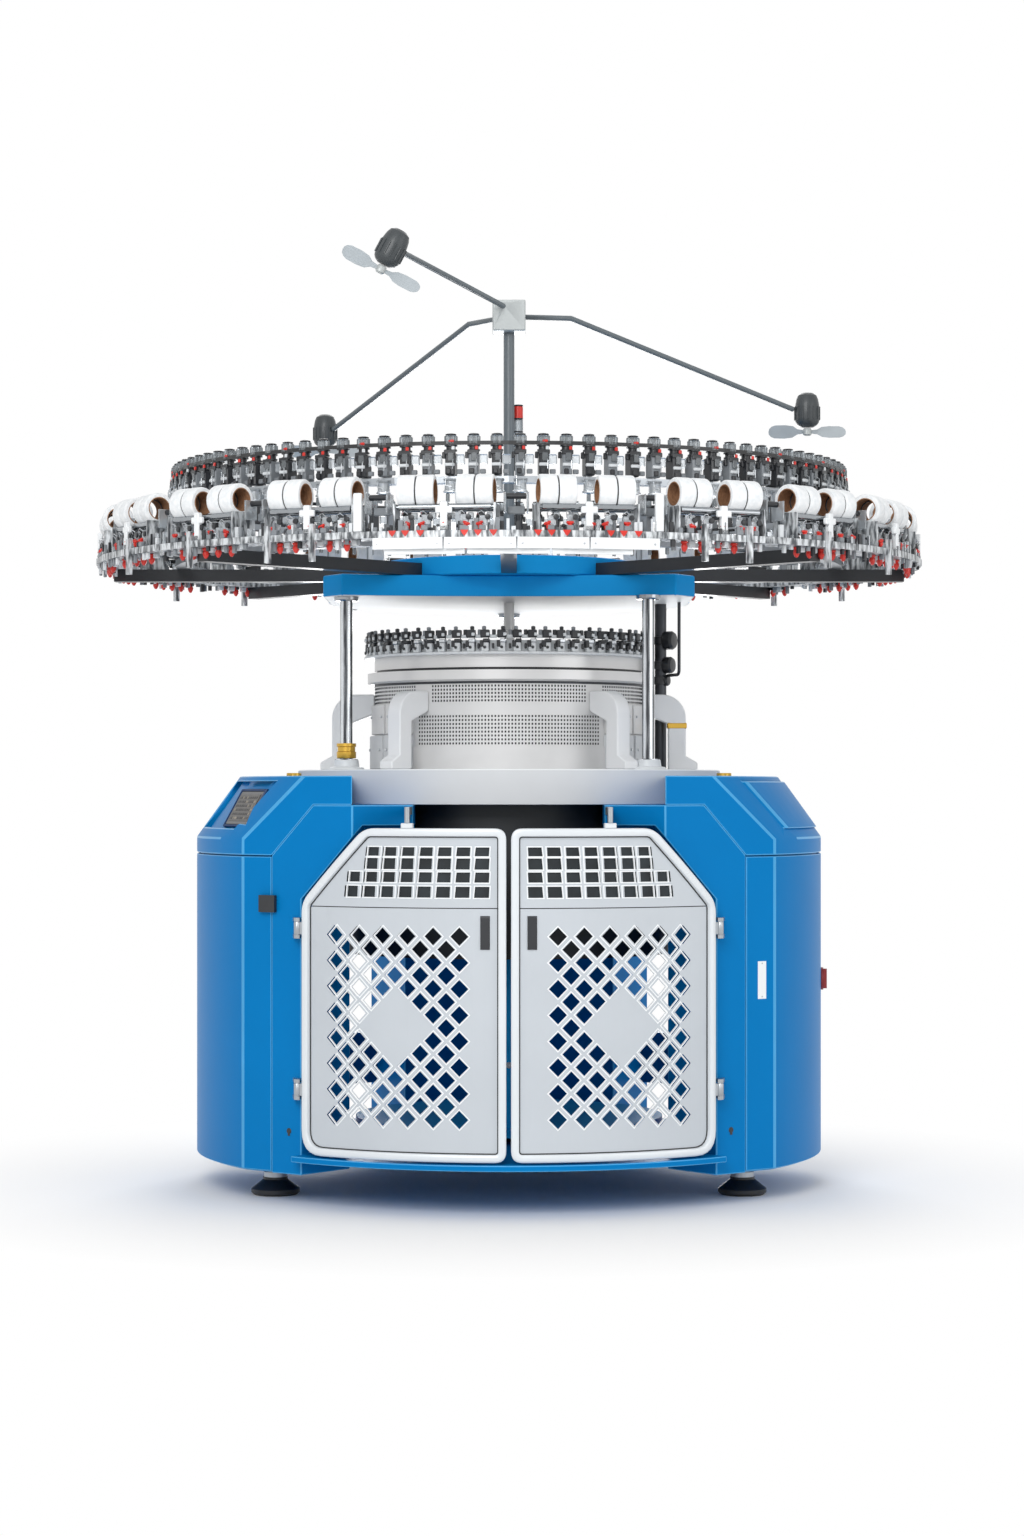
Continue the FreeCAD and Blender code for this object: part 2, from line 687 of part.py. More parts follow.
def top_plate():
    """The upper frame: round behind, straight at its sides, its front edge drawn in
    between cut corners."""
    half, side = size.plate_front_half, size.plate_corner_half
    left_end = Vector(-side, -size.plate_corner, 0)
    right_end = Vector(side, -size.plate_corner, 0)
    left_front = Vector(-half, -size.plate_front, 0)
    right_front = Vector(half, -size.plate_front, 0)
    left_rear, right_rear = Vector(-side, 0, 0), Vector(side, 0, 0)
    edges = [Part.Arc(right_rear, Vector(0, size.plate_back, 0), left_rear).toShape(),
             line(left_rear, left_end), line(left_end, left_front),
             Part.Arc(left_front, Vector(0, -size.plate_front_mid, 0), right_front).toShape(),
             line(right_front, right_end), line(right_end, right_rear)]
    plate = prism(edges, size.plate_top - size.plate_bottom)
    plate.translate(Vector(0, 0, size.plate_bottom))
    shaped("top_plate", plate)


# ---------------------------------------------------------------- drum, rim and dial
def drum():
    turned("cam_drum", [
        ("drum_bore", "bed_top"), ("drum_foot_radius", "bed_top"),
        ("drum_foot_radius", "drum_foot"), ("drum_radius", "drum_foot"),
        ("drum_radius", "drum_top"), ("drum_bore", "drum_top")])
    turned("cylinder_rim", [
        ("drum_bore", "drum_top"), ("rim_radius - 6", "drum_top"),
        ("rim_radius", "drum_top + 6"), ("rim_radius", "rim_top"),
        ("drum_bore", "rim_top")])
    cam = ring(size.dial_shaft_radius + size.running_fit, size.dial_cam_radius,
               size.dial_cam_bottom, size.dial_cam_top)
    tube = ring(size.dial_shaft_radius + size.running_fit, size.dial_tube_radius,
                size.dial_cam_top, size.plate_bottom)
    shaped("dial_cam", cam.fuse(tube))


def yarn_guides():
    """The carrier ring on the dial cam with its feeding fingers."""
    low = size.dial_cam_top
    high = low + size.guide_ring_height
    carrier = sided_ring(size.guide_ring_inner, size.guide_ring_outer, 50, 0, low, high)
    centre = (size.guide_ring_inner + size.guide_ring_outer) / 2 + 4
    count = int(size.guide_count)
    fingers = [block(size.guide_width, size.guide_depth, size.guide_height, centre, angle, high)
               for angle in around(count, 180.0 / count)]
    shaped("yarn_guides", Part.makeCompound([carrier] + fingers))


BRACKET_ANGLES = (-142, -90, -38.6, 38.6, 90, 142)


def cam_brackets():
    """Cast brackets that stand on the bed and lean in to the drum."""
    tip = size.drum_radius + size.bracket_tip_gap
    foot, back = size.bracket_foot, size.bracket_back
    low, top, shoulder = size.bed_top, size.bracket_top, size.bracket_shoulder
    bend = top - shoulder
    front_points = [(back - 60, low), (foot, low), (foot, low + 26), (back, low + 48),
                    (back, shoulder)]
    centre = Vector(0, -(back - bend), shoulder)
    corners = [Vector(0, -radius, height) for radius, height in front_points]
    half = bend * math.sqrt(0.5)
    crown = Part.Arc(corners[-1], centre + Vector(0, -half, half),
                     Vector(0, -(back - bend), top)).toShape()
    inner = [Vector(0, -(back - bend), top), Vector(0, -tip, top),
             Vector(0, -tip, size.bracket_tip_low), Vector(0, -(back - 60), shoulder - 20),
             corners[0]]
    edges = [line(a, b) for a, b in zip(corners, corners[1:])] + [crown]
    edges += [line(a, b) for a, b in zip(inner, inner[1:])]
    bracket = Part.Face(Part.Wire(edges)).extrude(Vector(size.bracket_width, 0, 0))
    bracket.translate(Vector(-size.bracket_width / 2, 0, 0))
    shaped("cam_brackets", copies(bracket, [turned_to(angle) for angle in BRACKET_ANGLES]))


# ---------------------------------------------------------------- rotating parts
def gear_outline(root, tip, teeth):
    """A ring gear's outline: straight-sided teeth on a round root."""
    step = 360.0 / teeth
    corners = []
    for index in range(teeth):
        at = index * step
        corners += [polar(root, at), polar(root, at + step * 0.42),
                    polar(tip, at + step * 0.58), polar(tip, at + step * 0.84)]
    return corners


def rotating_group():
    turned("needle_cylinder", [
        ("cylinder_radius - cylinder_wall", "cylinder_flange"),
        ("bed_bore - running_fit", "cylinder_flange"),
        ("bed_bore - running_fit", "bed_top - bed_step"),
        ("cylinder_radius", "bed_top - bed_step"), ("cylinder_radius", "cylinder_top"),
        ("cylinder_radius - cylinder_wall", "cylinder_top")])
    corners = gear_outline(size.gear_radius - size.tooth_height, size.gear_radius,
                           int(size.gear_teeth))
    rim = closed_wire(corners)
    bore = Part.Wire(Part.makeCircle(size.cylinder_radius - size.cylinder_wall))
    gear = holed_face([rim, bore]).extrude(Vector(0, 0, size.cylinder_flange - size.gear_bottom))
    gear.translate(Vector(0, 0, size.gear_bottom))
    shaped("main_gear", gear)
    takedown()


def takedown():
    """Two cheeks between gear and turntable, with the draw and winding rollers."""
    thick, half = size.cheek_thickness, size.cheek_half
    low, high = size.turntable_top, size.gear_bottom
    pair = size.draw_radius + size.draw_gap / 2
    cheeks = []
    for side in (-1, 1):
        near = side * size.cheek_place
        cheek = Part.makeBox(2 * half, thick, high - low, Vector(-half, near - thick / 2, low))
        for x, z in ((-pair, size.draw_height), (pair, size.draw_height), (0, size.wind_height)):
            cheek = cheek.cut(Part.makeCylinder(size.journal_radius + size.journal_fit, 2 * thick,
                                                Vector(x, near - thick, z), Vector(0, 1, 0)))
        cheeks.append(cheek)
    table = Part.makeCylinder(size.turntable_radius, low - size.turntable_bottom,
                              Vector(0, 0, size.turntable_bottom))
    pivot = Part.makeCylinder(size.pivot_radius, size.turntable_bottom - size.base_bottom,
                              Vector(0, 0, size.base_bottom))
    shaped("takedown_frame", table.fuse([pivot] + cheeks))
    for label, x, z, radius in (("draw_roller_left", -pair, size.draw_height, size.draw_radius),
                                ("draw_roller_right", pair, size.draw_height, size.draw_radius),
                                ("winding_roller", 0, size.wind_height, size.wind_radius)):
        shaped(label, roller(x, z, radius))


def roller(x, height, radius):
    """A roller between the cheeks with its two journals."""
    face = size.cheek_place - size.cheek_thickness / 2 - size.roller_end_gap
    end = size.cheek_place + size.cheek_thickness / 2
    along = Vector(0, 1, 0)
    shell = Part.makeCylinder(radius, 2 * face, Vector(x, -face, height), along)
    journal = Part.makeCylinder(size.journal_radius, 2 * end, Vector(x, -end, height), along)
    return shell.fuse(journal)


def dial():
    """The needle dial under the dial cam, on the shaft that drives it."""
    turned("dial_plate", [
        ("0", "dial_bottom"), ("dial_radius - 30", "dial_bottom"),
        ("dial_radius", "dial_bottom + 8"), ("dial_radius", "dial_cam_bottom - running_fit"),
        ("dial_shaft_radius", "dial_cam_bottom - running_fit"),
        ("dial_shaft_radius", "plate_bottom - running_fit"),
        ("0", "plate_bottom - running_fit")])


# ---------------------------------------------------------------- feeder ring
def unit_angles():
    return around(int(size.unit_count), size.first_unit)


def feeder_ring():
    hub_disc = primitive("Cylinder", "RingHub", z="plate_top", Radius="hub_radius",
                         Height="hub_top - plate_top")
    sub_part(hub_disc, "ring_hub")
    tall = size.spoke_top - size.spoke_bottom
    spoke_end = size.outer_rail_outer - size.spoke_setback
    length = spoke_end - size.hub_radius
    spokes = []
    for angle in around(int(size.spoke_count)):
        spoke = block(size.spoke_width, length, tall, (spoke_end + size.hub_radius) / 2,
                      angle, size.spoke_bottom)
        spokes.append(spoke.cut(hub_disc_shape()))
    shaped("ring_spokes", Part.makeCompound(spokes))
    inner_frame()
    outer_rail()


def hub_disc_shape():
    return Part.makeCylinder(size.hub_radius, size.hub_top - size.plate_top,
                             Vector(0, 0, size.plate_top))


def inner_frame():
    """The lower inner rail, its uprights, and the rail that the feeders stand on."""
    sides = int(size.unit_count) * 2
    radius, half = size.inner_rail_radius, size.inner_rail_width / 2
    low = size.spoke_top
    high = low + size.rail_height
    rail_low = size.feeder_rail_bottom
    lower = sided_ring(radius - half, radius + half, sides, 0, low, high)
    upper = sided_ring(radius - half, radius + half, sides, 0, rail_low,
                       rail_low + size.rail_height)
    uprights = [block(16, 16, rail_low - high, radius, angle, high) for angle in unit_angles()]
    shaped("feeder_frame", lower.fuse([upper] + uprights))
    feeders()


def feeder_angles():
    count = int(size.unit_count) * int(size.feeders_per_unit)
    return around(count, 180.0 / count)


def feeders():
    """Positive feeders: a housing on the rail with its toothed pulley on top."""
    low = size.feeder_rail_bottom + size.rail_height
    high = low + size.feeder_height
    housings = []
    pulleys = []
    for angle in feeder_angles():
        housings.append(block(size.feeder_width, size.feeder_depth, size.feeder_height,
                              size.feeder_radius, angle, low))
        pulleys.append(sided_rod(size.pulley_radius, size.pulley_height,
                                 PULLEY_SIDES, polar(size.feeder_radius, angle, high),
                                 Vector(0, 0, 1)))
    shaped("feeder_housings", Part.makeCompound(housings))
    shaped("feeder_pulleys", Part.makeCompound(pulleys))
    flat = size.feeder_radius + size.pulley_radius + size.running_fit
    corner = flat / math.cos(math.pi / BELT_SIDES)
    shaped("drive_belt", sided_ring(corner, corner + size.belt_thickness, BELT_SIDES, 0,
                                    high + size.belt_lift,
                                    high + size.belt_lift + size.belt_height))


STAY_ANGLES = (25, 31.5, 45, 60, 120, 135, 155)
SPOOL_SIDES = 12
ROD_SIDES = 6
PULLEY_SIDES = 6
BELT_SIDES = 50


def spool_reach():
    """From a rod's centre to the spool's, flat on flat, leaning in by 30 degrees."""
    return (size.spool_radius * math.cos(math.pi / SPOOL_SIDES)
            + size.rod_radius * math.cos(math.pi / ROD_SIDES))


def spool_circle():
    return size.outer_rail_outer - size.spool_setback


def outer_rail():
    """The outer rail with its stays, roller plates, rods, spools and detectors."""
    low = size.spoke_top
    high = low + size.rail_height
    outer = size.outer_rail_outer
    inner = outer - size.outer_rail_width
    rail = sided_ring(inner, outer, int(size.unit_count) * 2, 1, low, high)
    edge = outer - 8
    stays = []
    for angle in STAY_ANGLES:
        for side in (-1, 1):
            stays.append(block(size.stay_size, size.stay_size, size.stay_top - size.stay_bottom,
                               edge + size.stay_size / 2, side * angle, size.stay_bottom))
    reach = size.spool_width + size.spool_offset - size.spool_width / 2 + size.roller_plate / 2 + 2
    plates = []
    rods = []
    spools = []
    for angle in unit_angles():
        place = turned_to(angle)
        for offset in (-reach, reach):
            plate = Part.makeBox(size.roller_plate, 2 * size.roller_plate_half,
                                 size.rod_height + size.rod_radius - high,
                                 Vector(offset - size.roller_plate / 2,
                                        -spool_circle() - size.roller_plate_half, high))
            plates.append(plate.transformGeometry(place.toMatrix()))
        spread = spool_reach() / 2
        for spread in (-spread, spread):
            at = Vector(-reach + size.roller_plate / 2, -spool_circle() + spread,
                        size.rod_height)
            rod = sided_rod(size.rod_radius, 2 * reach - size.roller_plate,
                            ROD_SIDES, at, Vector(1, 0, 0))
            rods.append(rod.transformGeometry(place.toMatrix()))
        for offset in (-size.spool_offset, size.spool_offset):
            spools.append(spool(offset).transformGeometry(place.toMatrix()))
    shaped("outer_rail", Part.makeCompound([rail] + stays + plates))
    shaped("roller_rods", Part.makeCompound(rods))
    shaped("elastane_spools", Part.makeCompound(spools))
    detectors_and_panels(low)


def spool(offset):
    """A pair of yarn spools on one tube, lying on its two rods."""
    drop = spool_reach() * math.cos(math.radians(30))
    start = Vector(offset - size.spool_width / 2, -spool_circle(), size.rod_height + drop)
    body = sided_rod(size.spool_radius, size.spool_width, SPOOL_SIDES, start,
                     Vector(1, 0, 0), 0.5)
    bore = sided_rod(size.spool_bore, size.spool_width, 8, start, Vector(1, 0, 0), 0.5)
    return body.cut(bore)


PANEL_ANGLES = (-10.5, 0, 10.5)
PANEL_HALF_ANGLE = 5.1


def detectors_and_panels(rail_low):
    """Stop-motion detectors under the outer rail, and the front cover panels."""
    low = rail_low - size.detector_height
    detectors = []
    for angle in unit_angles():
        for step in (-4.5, 4.5):
            detectors.append(block(size.detector_width, size.detector_depth,
                                   size.detector_height, size.outer_rail_outer - size.detector_setback,
                                   angle + step, low))
    shaped("stop_detectors", Part.makeCompound(detectors))
    panel_radius = size.outer_rail_outer - size.panel_setback
    width = 2 * panel_radius * math.tan(math.radians(PANEL_HALF_ANGLE))
    panels = [block(width, size.panel_thickness, rail_low - size.panel_bottom,
                    panel_radius - size.panel_thickness / 2, angle, size.panel_bottom)
              for angle in PANEL_ANGLES]
    shaped("ring_panels", Part.makeCompound(panels))


# ---------------------------------------------------------------- fan system and lamp
FAN_ANGLES = (-20, 100, 220)


def fan_end(angle):
    """The point where a fan's motor hangs from its arm."""
    level = angle == FAN_ANGLES[0]
    return polar(size.fan_reach, angle, size.fan_level_height if level else size.fan_low_height)


def fan_axis(angle):
    """The direction that a fan blows in."""
    tilt = math.radians(size.fan_tilt if angle == FAN_ANGLES[0] else 0.0)
    return Vector(-math.sin(tilt), 0, -math.cos(tilt))


def arm_pipe(points):
    """A round bar through straight runs, with a ball at each bend."""
    pieces = []
    for start, end in zip(points, points[1:]):
        run = end - start
        pieces.append(Part.makeCylinder(size.fan_arm_radius, run.Length, start, run))
    joints = [Part.makeSphere(size.fan_arm_radius, point) for point in points[1:-1]]
    return pieces[0].fuse(pieces[1:] + joints) if len(pieces) > 1 else pieces[0]


def fan_system():
    shaft = primitive("Cylinder", "FanColumn", z="hub_top", Radius="column_radius",
                      Height="head_bottom - running_fit - hub_top")
    sub_part(shaft, "fan_column")
    half = size.head_width / 2
    head = Part.makeBox(2 * half, 2 * half, size.head_top - size.head_bottom,
                        Vector(-half, -half, size.head_bottom))
    arms = [head]
    for angle in FAN_ANGLES:
        middle = (size.head_bottom + size.head_top) / 2
        end = fan_end(angle)
        if angle == FAN_ANGLES[0]:
            points = [polar(half * 0.6, angle, middle + 30), end]
        else:
            bend = polar(size.fan_bend_reach, angle, size.fan_bend_height)
            points = [polar(half * 0.6, angle, size.fan_bend_height), bend, end]
        arms.append(arm_pipe(points))
    shaped("fan_head", arms[0].fuse(arms[1:]))
    motors = []
    for index, angle in enumerate(FAN_ANGLES):
        axis = fan_axis(angle)
        outward = polar(1, angle)
        centre = fan_end(angle) + outward * (size.motor_radius + 1)
        top = centre - axis * size.motor_length / 2
        motors.append(fan_motor(top, axis).cut(arms_only(arms, index)))
        shaped("fan_blades_%d" % (index + 1), fan_blades(top + axis * size.motor_length, axis))
    shaped("fan_motors", Part.makeCompound(motors))


def arms_only(arms, index):
    return arms[index + 1]


def fan_motor(top, axis):
    """A motor housing with a sloped shoulder at its closed end."""
    shoulder = size.motor_radius * 0.4
    cone = Part.makeCone(size.motor_radius - shoulder, size.motor_radius, shoulder, top, axis)
    shell = Part.makeCylinder(size.motor_radius, size.motor_length - shoulder,
                              top + axis * shoulder, axis)
    return cone.fuse(shell)


def fan_blades(base, axis):
    """A two-blade propeller with its hub."""
    start = base + axis * size.running_fit
    hub_length = 24
    boss = Part.makeCylinder(12, hub_length, start, axis)
    across = Vector(0, 1, 0).cross(axis).normalize()
    middle = start + axis * hub_length / 2
    half_length, half_width = size.blade_length, size.blade_width / 2
    side = axis.cross(across)
    thick = axis * size.blade_thickness
    near = middle - thick * 0.5
    corners = [near - across * half_length - side * half_width * 0.6,
               near - side * half_width, near + across * half_length - side * half_width * 0.6,
               near + across * half_length + side * half_width * 0.6,
               near + side * half_width, near - across * half_length + side * half_width * 0.6]
    return boss.fuse(Part.Face(closed_wire(corners)).extrude(thick))


def signal_tower():
    pole = primitive("Cylinder", "TowerPole", "tower_place", "tower_place", "hub_top",
                     Radius="tower_pole", Height="tower_bottom - hub_top")
    lamp = primitive("Cylinder", "TowerLamp", "tower_place", "tower_place", "tower_bottom",
                     Radius="tower_radius", Height="tower_top - tower_bottom")
    sub_part(combined("Fuse", "SignalTower", pole, lamp), "signal_tower")


# ---------------------------------------------------------------- guard doors
DOOR_MARGIN = 100.0


def rounded_outline(corners, radii):
    """A closed flat outline with each corner rounded by its own radius."""
    count = len(corners)
    cut_ends = []
    for index in range(count):
        here = corners[index]
        before = (corners[index - 1] - here).normalize()
        after = (corners[(index + 1) % count] - here).normalize()
        half = before.getAngle(after) / 2
        reach = radii[index] / math.tan(half)
        bisector = (before + after).normalize()
        centre = here + bisector * (radii[index] / math.sin(half))
        cut_ends.append((here + before * reach, centre - bisector * radii[index],
                         here + after * reach))
    return cut_ends


def door_radius():
    return size.leg_radius - size.door_setback


def door_ahead():
    """How far in front of the axis the door's outlines are drawn."""
    return door_radius() + DOOR_MARGIN


def wrapped(point):
    """A point of the unrolled door, carried onto the front view of its cylinder."""
    return Vector(door_radius() * math.sin(point.x / door_radius()), -door_ahead(), point.y)


def wrapped_wire(cut_ends):
    edges = []
    count = len(cut_ends)
    for index in range(count):
        start, middle, end = (wrapped(point) for point in cut_ends[index])
        edges.append(Part.Arc(start, middle, end).toShape())
        edges.append(line(end, wrapped(cut_ends[(index + 1) % count][0])))
    return Part.Wire(edges)


def unrolled(angle, height):
    return Vector(math.radians(angle) * door_radius(), height, 0)


def door_outline(inset):
    """The door's outline, moved inwards by an inset, as cut ends of its corners."""
    trim = math.degrees(inset / door_radius())
    low, high = size.door_bottom + inset, size.door_top - inset
    inner, outer = size.door_inner_angle + trim, size.door_outer_angle - trim
    run = math.radians(size.door_outer_angle - size.door_chamfer_angle) * door_radius()
    rise = size.door_top - size.door_chamfer_low
    slant = math.hypot(run, rise)
    chamfer_low = size.door_chamfer_low - inset * (slant - rise) / run
    chamfer_angle = size.door_chamfer_angle - math.degrees(
        inset * (slant - run) / rise / door_radius())
    corners = [unrolled(inner, low), unrolled(outer, low), unrolled(outer, chamfer_low),
               unrolled(chamfer_angle, high), unrolled(inner, high)]
    soft = max(size.door_corner - inset, 6)
    radii = [soft, max(size.door_low_corner - inset, 6), soft, soft, soft]
    return rounded_outline(corners, radii)


def through_door(wires, inner, outer):
    """Carry a flat outline with its holes through the door's sheet.

    The sheet is rolled in narrow flats, half a lattice column wide, with the folds on
    the columns' centre lines.
    """
    flat = holed_face(wires)
    block_through = flat.extrude(Vector(0, door_ahead(), 0))
    step = size.diamond_turn / 2
    first = size.diamond_first_angle - step * 5
    folds = [first + step * index for index in range(20)]
    bottom = size.door_bottom - 20
    corners = [polar(outer, angle, bottom) for angle in folds]
    corners += [polar(inner, angle, bottom) for angle in reversed(folds)]
    return block_through.common(polygon(corners, size.door_top + 20 - bottom))


def diamond_centres():
    """The lattice's hole centres, leaving out the solid diamond in its middle."""
    columns, rows = int(size.diamond_columns), int(size.diamond_rows)
    middle_column, middle_row = (columns - 1) / 2, (rows - 1) / 2
    centres = []
    for column_step in range(2 * columns - 1):
        for row_step in range(2 * rows - 1):
            if (column_step + row_step) % 2:
                continue
            column, row = column_step / 2, row_step / 2
            if abs(column - middle_column) + abs(row - middle_row) <= 1.01:
                continue
            centres.append((column, row))
    return centres


def diamond_wires():
    wires = []
    turn = math.degrees(size.diamond_half / door_radius())
    for column, row in diamond_centres():
        angle = size.diamond_first_angle + column * size.diamond_turn
        height = size.diamond_first_height + row * size.diamond_pitch
        points = [unrolled(angle - turn, height), unrolled(angle, height - size.diamond_half),
                  unrolled(angle + turn, height), unrolled(angle, height + size.diamond_half)]
        wires.append(closed_wire([wrapped(point) for point in points]))
    return wires


WINDOW_ROWS = ((984, 1019), (1031, 1063), (1071, 1106), (1112, 1140))
WINDOW_ENDS = ((8, 29.9), (8, 29.4), (7, 26.0), (7, 25.7))


def window_wires():
    """The vent slots in the upper panel, in rows that step in with the chamfer."""
    wires = []
    first, web = size.window_first, size.window_web
    for (low, high), (count, end) in zip(WINDOW_ROWS, WINDOW_ENDS):
        step = (end - first) / count
        for index in range(count):
            near = first + step * index + web / 2
            far = near + step - web
            points = [unrolled(near, low), unrolled(far, low), unrolled(far - 0.2, high),
                      unrolled(near - 0.1, high)]
            wires.append(closed_wire([wrapped(point) for point in points]))
    return wires


def handle_wire(gap):
    half = math.degrees((size.handle_width / 2 + gap) / door_radius())
    low, high = size.handle_bottom - gap, size.handle_top + gap
    points = [unrolled(size.handle_angle - half, low), unrolled(size.handle_angle + half, low),
              unrolled(size.handle_angle + half, high), unrolled(size.handle_angle - half, high)]
    return closed_wire([wrapped(point) for point in points])


def door_band(low, high):
    """The space that a door fills between two heights."""
    return sector(door_radius() - DOOR_MARGIN, door_radius() + DOOR_MARGIN, -5, 45, low, high)


def hinge_line():
    return polar(door_radius(), size.hinge_angle)


def door_frame():
    """The door's tube frame with the knuckles of its two hinges."""
    front = door_radius()
    back = front - size.door_frame_depth
    frame = through_door([wrapped_wire(door_outline(0.0)),
                          wrapped_wire(door_outline(size.door_frame_width))], back, front)
    pin = hinge_line()
    edge = polar(front - size.door_frame_depth / 2, size.door_outer_angle - 0.3)
    run = (edge - pin).normalize()
    across = Vector(-run.y, run.x, 0) * 5
    pieces = []
    for middle in (size.hinge_low, size.hinge_high):
        low = middle - size.hinge_height / 2
        pieces.append(Part.makeCylinder(size.hinge_knuckle, size.hinge_height, lift(pin, low)))
        corners = [pin + across, pin - across, edge - across, edge + across]
        pieces.append(polygon([lift(point, low) for point in corners], size.hinge_height))
    pieces.append(block(size.keeper_width, size.door_frame_depth, size.keeper_tall,
                        front - size.door_frame_depth / 2, catch_angle(), size.door_top))
    whole = frame.fuse(pieces)
    for middle in (size.hinge_low, size.hinge_high):
        bore = Part.makeCylinder(size.hinge_pin + size.hinge_fit, size.hinge_height,
                                 lift(pin, middle - size.hinge_height / 2))
        whole = whole.cut(bore)
    return whole


def door_panel():
    """Two perforated sheets behind the frame: the vent panel over the lattice panel."""
    front = door_radius() - size.door_frame_depth
    back = front - size.door_sheet
    wires = [wrapped_wire(door_outline(size.sheet_inset))]
    wires += diamond_wires() + window_wires() + [handle_wire(size.handle_gap)]
    sheet_metal = through_door(wires, back, front)
    gap = size.door_split_gap / 2
    lower = sheet_metal.common(door_band(size.door_bottom, size.door_split - gap))
    upper = sheet_metal.common(door_band(size.door_split + gap, size.door_top))
    return Part.makeCompound([lower, upper])


def door_handle():
    """A flat pull that hangs in its slot from a round barrel along its top."""
    half = size.handle_depth / 2
    centre = door_radius() - size.door_frame_depth + size.handle_proud - half
    across = door_radius() * math.sin(math.radians(size.handle_angle))
    angle = math.degrees(math.asin(across / centre))
    low, axis = size.handle_bottom, size.handle_top - half
    slab = block(size.handle_width, size.handle_depth, axis - low, centre, angle, low)
    along = polar(1, angle + 90)
    barrel = Part.makeCylinder(half, size.handle_width,
                               polar(centre, angle, axis) - along * (size.handle_width / 2), along)
    return slab.fuse(barrel).removeSplitter()


def hinge_bracket():
    """A pin held above and below the door's knuckle by plates on the leg's facet."""
    pin = hinge_line()
    corner = facet_corner()
    along = facet_along()
    near, far = corner + along * 2, corner + along * 34
    outward = facet_outward() * size.hinge_knuckle
    pieces = []
    for middle in (size.hinge_low, size.hinge_high):
        low = middle - size.hinge_height / 2 - size.hinge_end_gap
        high = middle + size.hinge_height / 2 + size.hinge_end_gap
        bottom = low - size.hinge_plate
        top = high + size.hinge_plate
        pieces.append(Part.makeCylinder(size.hinge_pin, top - bottom, lift(pin, bottom)))
        for level in (bottom, high):
            plate = [near, far, pin + along * size.hinge_knuckle + outward * 0.2,
                     pin - along * size.hinge_knuckle + outward * 0.2]
            pieces.append(polygon([lift(point, level) for point in plate], size.hinge_plate))
    return [pieces[0].fuse(pieces[1:3]), pieces[3].fuse(pieces[4:6])]


def guard_doors():
    frame, panel, handle = door_frame(), door_panel(), door_handle()
    brackets = hinge_bracket() + cabinet_hinges()
    for label, change in (("right", lambda shape: shape), ("left", mirrored)):
        shaped("door_frame_" + label, change(frame))
        shaped("door_panel_" + label, change(panel))
        shaped("door_handle_" + label, change(handle))
    shaped("hinge_brackets", Part.makeCompound(brackets + [mirrored(item) for item in brackets]))


# ---------------------------------------------------------------- small parts
def main_switch():
    """The rotary main switch on the right cabinet door."""
    seat = size.leg_radius + 0.4
    outward = polar(1, size.switch_angle)
    centre = polar(seat, size.switch_angle, size.switch_height)
    disc = Part.makeCylinder(size.switch_radius, 8, centre, outward)
    grip = block(14, 12, 2 * size.switch_radius - 10, seat + 8 + 6, size.switch_angle,
                 size.switch_height - size.switch_radius + 5)
    shaped("main_switch", disc.fuse(grip))


def cabinet_latch():
    """The quarter-turn latch over the left leg's seam, on its round seat."""
    seam = facet_corner() + facet_along() * size.seam_distance
    out = facet_outward()
    along = facet_along()
    behind = seam + out * size.latch_fit
    near = behind + out * size.latch_seat - along * size.latch_width * size.latch_share
    far = near + along * size.latch_width
    low = size.latch_height - size.latch_tall / 2
    corners = [near, far, far + out * size.latch_depth, near + out * size.latch_depth]
    latch = polygon([lift(point, low) for point in corners], size.latch_tall)
    centre = (near + far) / 2 - out * size.latch_seat
    seat = Part.makeCylinder(size.latch_seat_radius, size.latch_seat,
                             lift(centre, size.latch_height), out)
    shaped("cabinet_latch", mirrored(latch.fuse(seat)))


def shoulder_point(share, level):
    """A point of the sloping shoulder, by its share of the way round and its height."""
    low, high = (along_arc(bow, share) for bow in shoulder_arcs())
    rise = (level - size.cap_ridge) / (size.cap_top - size.cap_ridge)
    return low + (high - low) * rise


def display_block(gap, outward):
    """The operating panel's block in the right-hand shoulder's well, before mirroring."""
    width, tall = size.display_width + 2 * gap, size.display_tall + 2 * gap
    seat = size.display_recess + gap
    panel = Part.makeBox(width, tall, seat + outward, Vector(-width / 2, -tall / 2, -seat))
    panel.rotate(Vector(), Vector(1, 0, 0), size.display_tilt)
    panel.rotate(Vector(), Vector(0, 0, 1), size.display_angle)
    middle = shoulder_point(size.display_share, size.display_level)
    panel.translate(middle - slope_outward() * size.well_depth)
    return panel


def display_panel():
    outward = size.display_thickness - size.display_recess
    shaped("display_panel", mirrored(display_block(0.0, outward)))


# ---------------------------------------------------------------- the machine
def build():
    feet()
    base_plate()
    legs()
    cabinet_doors()
    bed()
    posts()
    top_plate()
    drum()
    yarn_guides()
    cam_brackets()
    rotating_group()
    dial()
    feeder_ring()
    fan_system()
    signal_tower()
    guard_doors()
    main_switch()
    cabinet_latch()
    display_panel()


def check():
    """Stop unless every object is sound and every sub-part is a valid solid shape."""
    doc.recompute()
    for item in doc.Objects:
        faults = {"Invalid", "Error"} & set(item.State)
        if faults:
            raise RuntimeError("%s is %s" % (item.Label, ", ".join(faults)))
    for item in sub_parts:
        shape = item.Shape
        if shape.isNull() or not shape.isValid() or not shape.Solids:
            raise RuntimeError("the shape of %s is not sound" % item.Label)


def export():
    os.makedirs("parts", exist_ok=True)
    for item in sub_parts:
        item.Shape.exportStep(os.path.join("parts", item.Label + ".step"))
        print("%-22s %3d solids %12.0f mm3" % (item.Label, len(item.Shape.Solids),
                                              item.Shape.Volume))


build()
check()
export()
